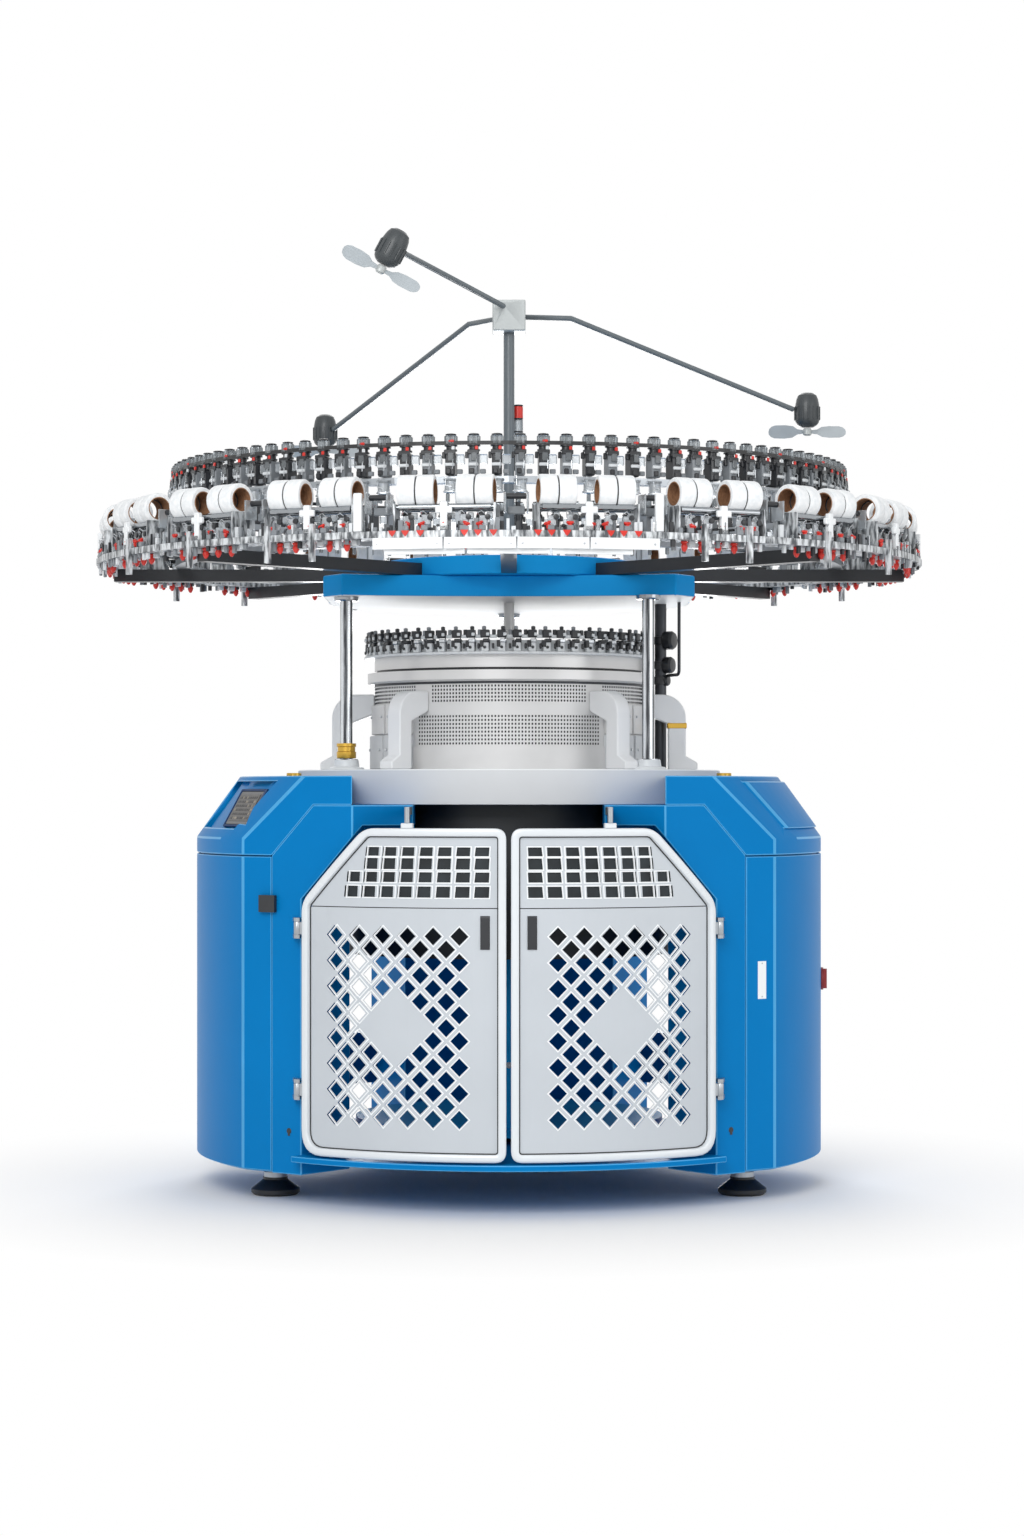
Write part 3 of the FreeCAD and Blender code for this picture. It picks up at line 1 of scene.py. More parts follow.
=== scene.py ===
"""Looks of the circular knitting machine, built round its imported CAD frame.

Metres, +Z up, the machine's axis at the origin, its front towards -Y. Angles about the
axis are degrees counted from the front, positive towards +X, as in the CAD source.
"""

import json
import math
import random
from itertools import product

import bmesh
import bpy
import numpy as np
from mathutils import Matrix, Vector
from mathutils.bvhtree import BVHTree

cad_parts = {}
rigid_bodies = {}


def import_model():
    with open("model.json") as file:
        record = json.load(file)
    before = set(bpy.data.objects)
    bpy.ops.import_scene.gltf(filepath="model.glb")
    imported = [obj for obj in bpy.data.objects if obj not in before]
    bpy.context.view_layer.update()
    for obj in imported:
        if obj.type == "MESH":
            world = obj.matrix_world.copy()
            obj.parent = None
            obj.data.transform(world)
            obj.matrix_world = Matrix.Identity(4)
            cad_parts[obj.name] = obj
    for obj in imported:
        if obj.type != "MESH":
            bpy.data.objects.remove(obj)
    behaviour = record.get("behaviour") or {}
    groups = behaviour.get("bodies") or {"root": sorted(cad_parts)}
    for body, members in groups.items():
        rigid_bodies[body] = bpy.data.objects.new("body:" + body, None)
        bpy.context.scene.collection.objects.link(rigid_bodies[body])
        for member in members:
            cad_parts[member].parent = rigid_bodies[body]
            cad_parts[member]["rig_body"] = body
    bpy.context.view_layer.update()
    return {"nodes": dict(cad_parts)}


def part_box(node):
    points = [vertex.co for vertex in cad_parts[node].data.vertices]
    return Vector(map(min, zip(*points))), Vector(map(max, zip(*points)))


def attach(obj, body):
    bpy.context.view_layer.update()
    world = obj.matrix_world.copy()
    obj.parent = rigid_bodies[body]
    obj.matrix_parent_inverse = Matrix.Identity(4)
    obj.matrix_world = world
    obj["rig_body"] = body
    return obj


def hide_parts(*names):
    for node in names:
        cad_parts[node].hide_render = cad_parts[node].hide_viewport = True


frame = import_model()
random.seed(7)

# ------------------------------------------------------------------ the photograph's view
CAMERA_AT = Vector((0.0102, -10.54, 1.316))
LENS = 72.66
SENSOR = 36.0
PHOTO = (1024, 1536)
SHIFT_UP = 22 / 1536
FOCAL_PIXELS = LENS / SENSOR * PHOTO[1]

# ------------------------------------------------------------------ sizes in metres
UNITS = 20
FIRST_UNIT = 10.0
FEEDERS_PER_UNIT = 5
SPOOL_CIRCLE = 1.326
SPOOL_OFFSET = 0.089
SPOOL_RADIUS = 0.050
SPOOL_WIDTH = 0.114
SPOOL_RISE = 0.0493
ROD_RADIUS = 0.010
ROD_SPREAD = 0.0285
ROD_HEIGHT = 2.156
ROD_REACH = 0.151
RAIL_LOW = 2.064
RAIL_TOP = 2.084
RAIL_OUTER = 1.392
DROPPER_OFFSETS = (-0.116, -0.058, 0.0, 0.058, 0.116)
FRONT_FLATS = (-12.5, -3.5, 5.5, 14.5)
TALL_BRACKETS = (-19, 19, 161, 199)
CLIPS = 540
COVERED_ANGLE = 19
FEEDER_CIRCLE = 1.122
FEEDER_LOW = 2.270
FEEDER_HIGH = 2.346
KNOB_RIBS = 10
DRUM_RADIUS = 0.455
BRACKET_ANGLES = (-142, -90, -38.6, 38.6, 90, 142)
STUD_COLUMNS = 260
STUD_CLEARANCE = 4.3
UPPER_STUDS = [1.608 + 0.0120 * row for row in range(5)]
LOWER_STUDS = [1.468 + 0.0127 * row for row in range(8)]
COVER_SPANS = ((43.5, 61.5), (63, 85), (95, 116), (117, 137), (147, 178), (182, 213),
               (223, 243), (244, 265), (275, 297), (298.5, 316.5))
CARRIERS = 60
CARRIER_CIRCLE = 0.476
BED_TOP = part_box("bed_plate")[1].z
CAP_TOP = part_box("cap_left")[1].z
DOOR_RADIUS = 1.040
DOOR_FRAME_WIDTH = 0.025
DOOR_CORNERS = ((0.4, 0.171), (38.9, 0.171), (38.9, 0.964), (25.7, 1.198), (0.4, 1.198))
HINGE_ANGLE = 39.72
HINGE_LEVELS = (0.375, 0.882)
RUN_OF_DEGREE = math.radians(1) * DOOR_RADIUS
DIAMOND_HALF = 0.030
DIAMOND_PITCH = 0.0805
DIAMOND_TURN = 4.6
DIAMOND_FIRST = (8.5, 0.3015)
WINDOW_ROWS = ((0.984, 1.019), (1.031, 1.063), (1.071, 1.106), (1.112, 1.140))
WINDOW_ENDS = ((8, 29.9), (8, 29.4), (7, 26.0), (7, 25.7))
WINDOW_FIRST = 3.0
WINDOW_WEB = 0.7
FAN_TILTS = {1: 28.0, 2: 0.0, 3: 0.0}
MOTOR_RIBS = 14
PROPELLER_DROP = 0.1355
LAMP_FOOT = 2.404
LENS_HEIGHT = 0.045
HEAD_HALF = 0.0585
HEAD_LOW, HEAD_HIGH = 2.868, 2.978
# columns and rows of the photograph at which small fittings sit
PLUG_COLUMNS = (294, 724)
LOCK_SPOTS = ((289, 1131, "left"), (731, 1130, "right"))
PLATE_SPOT = (762, 980)
# points nearer to each other than this are one point
WELD = 0.00002


# ------------------------------------------------------------------ places
def polar(radius, angle, height=0.0):
    """A point at a radius and an angle round the machine's axis."""
    turn = math.radians(angle)
    return Vector((radius * math.sin(turn), -radius * math.cos(turn), height))


def shift(x, y, z):
    return Matrix.Translation((x, y, z))


def spin(degrees, axis="Z"):
    return Matrix.Rotation(math.radians(degrees), 4, axis)


def place(radius, angle, height=0.0):
    """Local x runs along the ring, local y points in to the axis, local z up."""
    return Matrix.Translation(polar(radius, angle, height)) @ spin(angle)


def around(count, first=0.0):
    """Angles that share out a full turn."""
    return [first + 360.0 * index / count for index in range(count)]


def ring_places(radius, height=0.0, offsets=(0.0,)):
    """Places on a circle: each unit's middle, moved round it by each offset in metres."""
    return [place(radius, angle + math.degrees(offset / radius), height)
            for angle in around(UNITS, FIRST_UNIT) for offset in offsets]


# ------------------------------------------------------------------ shapes
def skin(rows, count, closed=False, flip=False):
    """Faces between rows of points, each row a closed loop; closed joins last to first."""
    faces = []
    for row in range(rows if closed else rows - 1):
        low, high = row * count, (row + 1) % rows * count
        for index in range(count):
            after = (index + 1) % count
            faces.append((low + index, low + after, high + after, high + index))
    return [face[::-1] for face in faces] if flip else faces


def ends(rows, count):
    """The faces that close the first and the last row."""
    return [tuple(reversed(range(count))), tuple(range((rows - 1) * count, rows * count))]


class Shape:
    """Points and faces gathered for one piece; a face's mark names its own finish."""

    def __init__(self):
        self.points = np.zeros((0, 3))
        self.faces = []
        self.marks = []

    def add(self, points, faces, mark=None):
        start = len(self.points)
        self.points = np.vstack([self.points, np.array([tuple(p) for p in points])])
        self.faces += [tuple(start + index for index in face) for face in faces]
        self.marks += [mark] * len(faces)
        return self

    def join(self, other, *places):
        """Add a copy of another shape at each place, or one copy where it is."""
        start = len(self.points)
        parts = [self.points]
        for at in places or (Matrix.Identity(4),):
            parts.append(other.points @ np.array(at.to_3x3()).T
                         + np.array(at.to_translation()))
            self.faces += [tuple(start + index for index in face) for face in other.faces]
            self.marks += other.marks
            start += len(other.points)
        self.points = np.vstack(parts)
        return self


def lathe(profile, sides=24, axis="Z", at=(0, 0, 0), mark=None, closed=False):
    """A turned shape from (radius, height) points; a closed profile has no end faces."""
    rows = []
    for radius, height in profile:
        for turn in np.radians(around(sides)):
            rows.append((radius * math.cos(turn), radius * math.sin(turn), height))
    points = np.roll(rows, "ZXY".index(axis), axis=1) + np.array(at)
    count = len(profile)
    faces = skin(count, sides, closed) + ([] if closed else ends(count, sides))
    return Shape().add(points, faces, mark)


def mirrored(profile, half):
    """A profile from one end to near the middle, then its mirror to the other end."""
    return ([(radius, up - half) for radius, up in profile]
            + [(radius, half - up) for radius, up in reversed(profile)])


def box(width, depth, tall, at=(0, 0, 0), mark=None, edge=0.002):
    """A block with its edges and corners cut back. `at` is the middle of it."""
    half = (width / 2, depth / 2, tall / 2)
    edge = min(edge, min(half) * 0.6)
    points, index, faces = [], {}, []

    def corner(axis, *signs):
        return tuple(signs[(i - axis) % 3] for i in range(3))

    def close(ring, outward):
        faces.append(tuple(ring if outward else reversed(ring)))

    for signs in product((-1, 1), repeat=3):
        for axis in range(3):
            index[signs, axis] = len(points)
            points.append([at[i] + signs[i] * (half[i] - (0 if i == axis else edge))
                           for i in range(3)])
    for axis, side in product(range(3), (-1, 1)):
        close([index[corner(axis, side, a, b), axis]
               for a, b in ((-1, -1), (1, -1), (1, 1), (-1, 1))], side > 0)
    for axis, a, b in product(range(3), (-1, 1), (-1, 1)):
        u, v = (axis + 1) % 3, (axis + 2) % 3
        low, high = corner(axis, -1, a, b), corner(axis, 1, a, b)
        close([index[low, u], index[high, u], index[high, v], index[low, v]], a * b < 0)
    for signs in product((-1, 1), repeat=3):
        close([index[signs, axis] for axis in range(3)], math.prod(signs) > 0)
    return Shape().add(points, faces, mark)


def blocks(*rows):
    """Boxes gathered in one shape; each row holds what box() takes."""
    shape = Shape()
    for row in rows:
        shape.join(box(*row))
    return shape


def prism(outline, low, high, mark=None, edge=0.0):
    """A flat outline of (x, y) points, stood up between two heights, with cut-back rims."""
    middle = sum((Vector(corner) for corner in outline), Vector((0, 0))) / len(outline)
    levels = [(0.0, low + edge), (0.0, high - edge)]
    if edge:
        levels = [(edge, low)] + levels + [(edge, high)]
    points = []
    for inset, height in levels:
        for corner in outline:
            away = Vector(corner) - middle
            keep = max(away.length - inset, 0.0) / max(away.length, 1e-9)
            points.append((*(middle + away * keep), height))
    faces = skin(len(levels), len(outline)) + ends(len(levels), len(outline))
    return Shape().add(points, faces, mark)


def tube(path, radius, sides=10, mark=None):
    """A round bar along a line of points, with closed ends."""
    path = [Vector(point) for point in path]
    points = []
    side = (path[1] - path[0]).normalized().orthogonal().normalized()
    for number, point in enumerate(path):
        before, after = path[max(number - 1, 0)], path[min(number + 1, len(path) - 1)]
        ahead = (after - before).normalized()
        side = (side - ahead * side.dot(ahead)).normalized()
        up = ahead.cross(side)
        for turn in np.radians(around(sides)):
            points.append(point + (side * math.cos(turn) + up * math.sin(turn)) * radius)
    return Shape().add(points, skin(len(path), sides) + ends(len(path), sides), mark)


def rounded_path(corners, radius, steps=5):
    """A line of points through the corners, each inner corner rounded by an arc."""
    corners = [Vector(corner) for corner in corners]
    path = [corners[0]]
    for before, here, after in zip(corners, corners[1:], corners[2:]):
        start = here + (before - here).normalized() * radius
        end = here + (after - here).normalized() * radius
        for share in (step / steps for step in range(steps + 1)):
            path.append(start.lerp(here, share).lerp(here.lerp(end, share), share))
    path.append(corners[-1])
    return path


def curved_plate(inner, outer, start, end, low, high, mark=None, edge=0.002):
    """A plate rolled about the machine's axis, its outer edges cut back."""
    steps = max(2, int(abs(end - start) / 3))
    rings = [(inner, low, 0), (outer - edge, low, 0), (outer, low + edge, 1),
             (outer, high - edge, 1), (outer - edge, high, 0), (inner, high, 0)]
    trim = math.degrees(edge / outer)
    points = []
    for step in range(steps + 1):
        angle = start + (end - start) * step / steps
        inward = {0: trim, steps: -trim}.get(step, 0.0)
        points += [polar(radius, angle + inward * cut, height)
                   for radius, height, cut in rings]
    faces = [(a, d, c, b) for a, b, c, d in skin(steps + 1, len(rings))]
    return Shape().add(points, faces + [face[::-1] for face in ends(steps + 1, len(rings))],
                       mark)


# ------------------------------------------------------------------ finishes
class Nodes:
    """A shader tree, with a short call for each node that the finishes use."""

    def __init__(self, tree):
        self.tree = tree

    def new(self, kind):
        return self.tree.nodes.new("ShaderNode" + kind)

    def link(self, source, target):
        self.tree.links.new(source, target)

    def maths(self, operation, *values):
        """Each value is a number or another node's output."""
        node = self.new("Math")
        node.operation = operation
        for socket, value in zip(node.inputs, values):
            if isinstance(value, (int, float)):
                socket.default_value = value
            else:
                self.link(value, socket)
        return node.outputs[0]

    def span(self, source, low, high, start=0.0, end=1.0):
        """What runs from start to end, made to run from low to high."""
        node = self.new("MapRange")
        for name, value in (("From Min", start), ("From Max", end), ("To Min", low),
                            ("To Max", high)):
            node.inputs[name].default_value = value
        self.link(source, node.inputs["Value"])
        return node.outputs["Result"]

    def background_rays(self):
        """One for rays that show the background: the camera's, mirrored and passed on."""
        rays = self.new("LightPath").outputs
        passed = self.maths("MAXIMUM", rays["Is Glossy Ray"], rays["Is Transmission Ray"])
        return self.maths("MAXIMUM", rays["Is Camera Ray"], passed)


class Finish(Nodes):
    """A material in the making; its patterns lie in the object's own coordinates."""

    def __init__(self, name):
        self.material = bpy.data.materials.new(name)
        self.material.use_nodes = True
        super().__init__(self.material.node_tree)
        self.shader = self.tree.nodes["Principled BSDF"]
        self.at_object = self.new("TexCoord").outputs["Object"]

    def noise(self, scale, detail=3.0, stretch=(1, 1, 1), source=None):
        mapping, node = self.new("Mapping"), self.new("TexNoise")
        mapping.inputs["Scale"].default_value = stretch
        node.inputs["Scale"].default_value = scale
        node.inputs["Detail"].default_value = detail
        self.link(self.at_object if source is None else source, mapping.inputs["Vector"])
        self.link(mapping.outputs["Vector"], node.inputs["Vector"])
        return node.outputs["Fac"]

    def parts(self, source):
        """The x, y and z of a vector."""
        node = self.new("SeparateXYZ")
        self.link(source, node.inputs[0])
        return node.outputs

    def colour(self, source, low, high, first=0.3, last=0.7):
        """Blend from one colour to another as the source rises."""
        node = self.new("ValToRGB")
        for element, position, shade in zip(node.color_ramp.elements, (first, last),
                                            (low, high)):
            element.position, element.color = position, shade
        self.link(source, node.inputs["Fac"])
        self.link(node.outputs["Color"], self.shader.inputs["Base Color"])

    def gloss(self, source, low, high):
        """Let the roughness wander between two numbers."""
        self.link(self.span(source, low, high), self.shader.inputs["Roughness"])

    def bump(self, height, distance, strength):
        node = self.new("Bump")
        node.inputs["Strength"].default_value = strength
        node.inputs["Distance"].default_value = distance
        self.link(height, node.inputs["Height"])
        self.link(node.outputs["Normal"], self.shader.inputs["Normal"])

    def done(self, **numbers):
        """Set the shader's own numbers and hand the material over."""
        for name, value in numbers.items():
            self.shader.inputs[name.replace("_", " ")].default_value = value
        return self.material


def rgb(*channels):
    """A screen colour from 0 to 255, as the shader's linear numbers."""
    def linear(value):
        value /= 255
        return value / 12.92 if value <= 0.04045 else ((value + 0.055) / 1.055) ** 2.4
    return (*(linear(value) for value in channels), 1.0)


def shades(colour, spread):
    """A darker and a lighter shade of a screen colour."""
    channels = rgb(*colour)[:3]
    return ((*(channel * (1 - spread) for channel in channels), 1.0),
            (*(min(channel * (1 + spread), 1.0) for channel in channels), 1.0))


def enamel(name, colour, roughness, coat, spread=0.05, metallic=0.0, peel=0.00012, shine=0.5):
    """Sprayed paint: slight cloudiness, an orange-peel skin and a clear top."""
    paint = Finish(name)
    paint.colour(paint.noise(3.0, 4.0), *shades(colour, spread))
    fine = paint.noise(420.0, 2.0)
    paint.gloss(fine, roughness - 0.04, roughness + 0.06)
    paint.bump(fine, peel, 0.35)
    return paint.done(Metallic=metallic, Specular_IOR_Level=shine, Coat_Weight=coat,
                      Coat_Roughness=0.12)


def turned(name, colour, roughness, metallic, groove=0.00005, spread=0.06):
    """Lathe-turned metal: rings of fine tool marks about the machine's axis."""
    steel = Finish(name)
    x, y, z = steel.parts(steel.at_object)
    square = steel.maths("ADD", steel.maths("MULTIPLY", x, x), steel.maths("MULTIPLY", y, y))
    joined = steel.new("CombineXYZ")
    steel.link(steel.maths("SQRT", square), joined.inputs[0])
    steel.link(z, joined.inputs[2])
    rings = steel.noise(900.0, 2.0, source=joined.outputs[0])
    steel.colour(steel.noise(5.0, 4.0), *shades(colour, spread))
    steel.gloss(rings, roughness - 0.08, roughness + 0.1)
    steel.bump(rings, groove, 0.4)
    return steel.done(Metallic=metallic)


def metal(name, colour, roughness, spread=0.08, grain=260.0, stretch=(1, 1, 1), metallic=1.0):
    """Plated, drawn or ground metal with uneven gloss and a slight grain."""
    plate = Finish(name)
    plate.colour(plate.noise(14.0, 5.0), *shades(colour, spread))
    fine = plate.noise(grain, 3.0, stretch)
    plate.gloss(fine, max(roughness - 0.08, 0.02), roughness + 0.1)
    plate.bump(fine, 0.00008, 0.3)
    return plate.done(Metallic=metallic)


def painted_reflection_post(name):
    """Polished round steel, with bright and dark streaks painted down its length by the way
    its surface faces: painted reflections.
    """
    post = Finish(name)
    # the streaks follow the direction each face turns to: painted reflections
    x, y, _ = post.parts(post.new("TexCoord").outputs["Normal"])
    angle = post.maths("ARCTAN2", x, y)
    streaks = post.maths("SINE", post.maths("MULTIPLY_ADD", angle, 5.0, 0.9))
    grain = post.noise(30.0, 3.0, (6, 6, 0.4))
    tone = post.maths("ADD", post.maths("MULTIPLY", streaks, 0.42), grain)
    post.colour(tone, rgb(66, 68, 72), rgb(222, 226, 230), 0.12, 0.78)
    post.gloss(grain, 0.14, 0.3)
    return post.done(Metallic=0.75)


def slotted(name):
    """Zinc plate with closely spaced dark slots and pale tags round its edge."""
    plate = Finish(name)
    streaks = plate.noise(75.0, 5.0, (1, 1, 0.25))
    plate.colour(streaks, rgb(84, 88, 92), rgb(216, 220, 223), 0.40, 0.60)
    plate.gloss(plate.noise(300.0, 3.0), 0.3, 0.5)
    plate.bump(streaks, 0.0012, 0.5)
    return plate.done(Metallic=0.3)


def plastic(name, colour, roughness, spread=0.06, coat=0.0, grain=700.0):
    """Moulded plastic with a fine skin."""
    moulding = Finish(name)
    moulding.colour(moulding.noise(22.0, 3.0), *shades(colour, spread))
    fine = moulding.noise(grain, 2.0)
    moulding.gloss(fine, roughness - 0.05, roughness + 0.08)
    moulding.bump(fine, 0.0001, 0.3)
    return moulding.done(Coat_Weight=coat)


def clear(name, colour, roughness, weight):
    """Clear moulded plastic with faint swirls."""
    moulding = Finish(name)
    swirl = moulding.noise(40.0, 4.0)
    moulding.colour(swirl, *shades(colour, 0.04))
    moulding.gloss(swirl, roughness, roughness + 0.08)
    return moulding.done(Transmission_Weight=weight, IOR=1.45)


def wound_yarn(name):
    """White yarn in close turns: fine ridges round each spool and soft cloudiness."""
    yarn = Finish(name)
    x, y, _ = yarn.parts(yarn.at_object)
    angle = yarn.maths("ARCTAN2", x, y)
    ridges = yarn.maths("SINE", yarn.maths("MULTIPLY", angle, 5200.0))
    tone = yarn.maths("ADD", yarn.maths("MULTIPLY", ridges, 0.12), yarn.noise(60.0, 3.0))
    yarn.colour(tone, rgb(226, 231, 234), rgb(250, 251, 252), 0.25, 0.75)
    yarn.bump(tone, 0.0004, 0.4)
    return yarn.done(Roughness=0.75, Sheen_Weight=0.25)


def cardboard(name, colour):
    """Spiral-wound board with fibres."""
    board = Finish(name)
    fibre = board.noise(190.0, 5.0, (1, 1, 0.3))
    board.colour(fibre, *shades(colour, 0.3))
    board.bump(fibre, 0.0003, 0.4)
    return board.done(Roughness=0.8)


MATERIALS = {
    "blue": enamel("blue_enamel", (0, 120, 188), 0.38, 0.0, 0.03, shine=0.07),
    # the leg blue made lighter: painted light where the ring above shades the plate and hub
    "plate_painted_light": enamel("plate_painted_light_enamel", (22, 146, 216), 0.38, 0.0, 0.03, shine=0.07),
    # the leg blue made darker: painted shade on the tie beams
    "painted_shade_blue": enamel("painted_shade_blue_enamel", (0, 96, 152), 0.4, 0.0, shine=0.2),
    # the leg blue made lighter: painted light on the shaded take-down frame
    "inside_blue_painted_light": enamel("inside_blue_painted_light_enamel", (24, 150, 214), 0.45, 0.0, shine=0.1),
    # dark blue: painted shade round the display's recess
    "painted_well_shade": enamel("painted_well_shade_enamel", (4, 50, 96), 0.45, 0.0, shine=0.2),
    # a lighter blue for the rounded edges: painted highlight
    "blue_edge": enamel("blue_painted_highlight_sheen", (64, 160, 216), 0.3, 0.0, 0.1, shine=0.4),
    "silver": enamel("silver_enamel", (194, 200, 206), 0.42, 0.1, 0.03, 0.1),
    "pale_silver": enamel("pale_silver_enamel", (222, 227, 231), 0.34, 0.2, 0.03, 0.1),
    # near white for rounded edges and hole rims: painted highlight
    "bright_edge": enamel("bright_edge", (238, 241, 243), 0.4, 0.1, 0.03),
    "grey_underside": enamel("grey_underside", (226, 229, 231), 0.5, 0.0, shine=0.16),
    "cast": enamel("cast_bracket", (232, 234, 236), 0.5, 0.1, 0.03, 0.0, 0.0004),
    "black": enamel("black_enamel", (34, 36, 40), 0.4, 0.2, 0.1),
    "column": enamel("grey_column", (94, 102, 107), 0.4, 0.2, 0.06),
    "head_grey": enamel("fan_head_grey", (178, 183, 183), 0.42, 0.1, 0.05, 0.15),
    "motor": enamel("motor_enamel", (56, 61, 64), 0.45, 0.15, 0.1),
    "bed": turned("ground_bed", (214, 217, 220), 0.5, 0.0, 0.00003, 0.03),
    "drum": turned("turned_drum", (219, 219, 219), 0.46, 0.25),
    "rim": turned("bright_rim", (214, 214, 214), 0.36, 0.5),
    "dark_turned": turned("dark_turned", (62, 64, 66), 0.4, 0.8),
    "chrome": metal("chromed_steel", (160, 164, 168), 0.14, 0.04),
    # the posts: painted reflections in streaks
    "posts_painted_reflection": painted_reflection_post("painted_reflection_posts"),
    "rail": slotted("slotted_rail"),
    "zinc": metal("zinc_plate", (172, 177, 182), 0.34),
    "steel": metal("drawn_steel", (196, 200, 204), 0.28),
    "dark_steel": metal("oiled_steel", (74, 76, 80), 0.42),
    "stud_grey": metal("blued_studs", (50, 52, 54), 0.5, 0.3, metallic=0.4),
    "brass": metal("brass", (206, 166, 74), 0.3),
    # dark mat behind the vents: painted shade
    "painted_vent_shade": metal("painted_vent_shade_mat", (32, 38, 42), 0.5, 0.45, 120.0, (1, 1, 5), 0.3),
    "rubber": plastic("black_rubber", (30, 31, 33), 0.45, 0.12, 0.2),
    "dark_plastic": plastic("dark_plastic", (40, 42, 46), 0.35, 0.12),
    "grey_plastic": plastic("grey_plastic", (128, 133, 138), 0.4, 0.15),
    "pale_plastic": plastic("pale_plastic", (216, 220, 223), 0.35, 0.05),
    "white_plastic": plastic("white_plastic", (238, 241, 243), 0.3, 0.02),
    "red_plastic": plastic("red_plastic", (208, 46, 36), 0.35, 0.14),
    "switch_red": plastic("switch_red", (150, 44, 46), 0.4, 0.12),
    "blade": plastic("propeller_plastic", (176, 184, 189), 0.3, 0.04, 0.2, 60.0),
    "bezel": plastic("screen_bezel", (26, 30, 36), 0.3, 0.1, 0.3),
    "screen": plastic("screen_glass", (58, 54, 50), 0.3, 0.3, 0.0, 90.0),
    "screen_light": plastic("screen_light", (126, 118, 104), 0.35, 0.2),
    "screen_dark": plastic("screen_dark", (30, 29, 30), 0.35, 0.2),
    "clear": clear("clear_plastic", (226, 231, 235), 0.1, 0.7),
    "smoke": clear("smoky_plastic", (150, 156, 160), 0.2, 0.6),
    "yarn": wound_yarn("wound_yarn"),
    "core": cardboard("spool_core", (146, 106, 76)),
}
GREY, PALE, WHITE = "grey_plastic", "pale_plastic", "white_plastic"
DARK, RED, STEEL = "dark_plastic", "red_plastic", "steel"
CLEAR, SMOKE = "clear", "smoke"

NODES_OF_FINISH = {
    "blue": "base_plate leg_left leg_right leg_rear cap_left cap_right cap_rear "
            "cabinet_door_left cabinet_door_right",
    # top plate and hub take the lightened blue: painted light
    "plate_painted_light": "top_plate ring_hub",
    # the tie beams take the darkened blue: painted shade
    "painted_shade_blue": "tie_beams",
    # the take-down frame takes the lightened blue: painted light
    "inside_blue_painted_light": "takedown_frame",
    "silver": "door_panel_right door_panel_left",
    "pale_silver": "door_frame_right door_frame_left",
    "cast": "cam_brackets",
    "black": "ring_spokes",
    "column": "fan_column fan_head",
    "motor": "fan_motors",
    "bed": "bed_plate",
    "drum": "cam_drum",
    "rim": "cylinder_rim dial_cam needle_cylinder dial_plate",
    "dark_turned": "gear_guard",
    "chrome": "roller_rods",
    "posts_painted_reflection": "post_left post_right post_rear",
    "rail": "outer_rail",
    "zinc": "foot_stems feeder_frame hinge_brackets door_catches",
    "steel": "draw_roller_left draw_roller_right winding_roller",
    "dark_steel": "drive_column main_gear",
    "rubber": "foot_pads drive_belt",
    "dark_plastic": "yarn_guides feeder_pulleys signal_tower door_handle_right "
                    "door_handle_left cabinet_latch",
    "grey_plastic": "feeder_housings",
    "white_plastic": "ring_panels",
    "red_plastic": "stop_detectors",
    "switch_red": "main_switch",
    "blade": "fan_blades_1 fan_blades_2 fan_blades_3",
    "bezel": "display_panel",
    "yarn": "elastane_spools",
}
NODE_FINISH = {node: finish for finish, nodes in NODES_OF_FINISH.items()
               for node in nodes.split()}


# ------------------------------------------------------------------ pieces
def sharpened(mesh, angle=32.0):
    """Smooth shading over curves, with a hard line at every sharper edge."""
    mesh.polygons.foreach_set("use_smooth", [True] * len(mesh.polygons))
    mesh.set_sharp_from_angle(angle=math.radians(angle))


def finish_nodes():
    """Give every CAD node its procedural material."""
    for name, item in frame["nodes"].items():
        item.data.materials.clear()
        item.data.materials.append(MATERIALS[NODE_FINISH[name]])
        sharpened(item.data)


def shown(name, mesh):
    """A new object in the scene for a mesh, a lamp or a camera."""
    item = bpy.data.objects.new(name, mesh)
    bpy.context.scene.collection.objects.link(item)
    return item


def piece(name, shape, finish, body="root", replaces=()):
    """Turn a gathered shape into a scene piece; finish is for the faces with no mark."""
    mesh = bpy.data.meshes.new(name)
    mesh.from_pydata([tuple(point) for point in shape.points], [], shape.faces)
    marks = [mark or finish for mark in shape.marks]
    order = {mark: index for index, mark in enumerate(dict.fromkeys([finish] + marks))}
    mesh.polygons.foreach_set("material_index", [order[mark] for mark in marks])
    for mark in order:
        mesh.materials.append(MATERIALS[mark])
    sharpened(mesh)
    mesh.update()
    item = shown(name, mesh)
    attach(item, body)
    if replaces:
        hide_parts(*replaces)


def body_of(node):
    return frame["nodes"][node]["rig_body"]


def bevel_weights(mesh, width, wide, wide_edge):
    """Weigh each edge for its rounding: the creases named by wide_edge get the wide one."""
    shape = bmesh.new()
    shape.from_mesh(mesh)
    bmesh.ops.remove_doubles(shape, verts=shape.verts, dist=WELD)
    bmesh.ops.dissolve_limit(shape, angle_limit=math.radians(1.0), verts=shape.verts,
                             edges=shape.edges)
    layer = shape.edges.layers.float.new("bevel_weight_edge")
    for edge in shape.edges:
        if len(edge.link_faces) != 2 or not edge.is_convex:
            continue
        angle = math.degrees(edge.calc_face_angle(0.0))
        if wide_edge and 9.0 < angle < 60.0 and wide_edge(edge):
            edge[layer] = 1.0
        elif angle > 28.0:
            edge[layer] = width / wide
    shape.to_mesh(mesh)
    shape.free()


def upright_outside(edge):
    """True for the crease where a leg's flat front turns into its round side."""
    start, end = (corner.co for corner in edge.verts)
    run = end - start
    middle = (start + end) / 2
    return abs(run.z) > 0.6 * run.length and abs(middle.x) > 0.7 and middle.y < -0.3


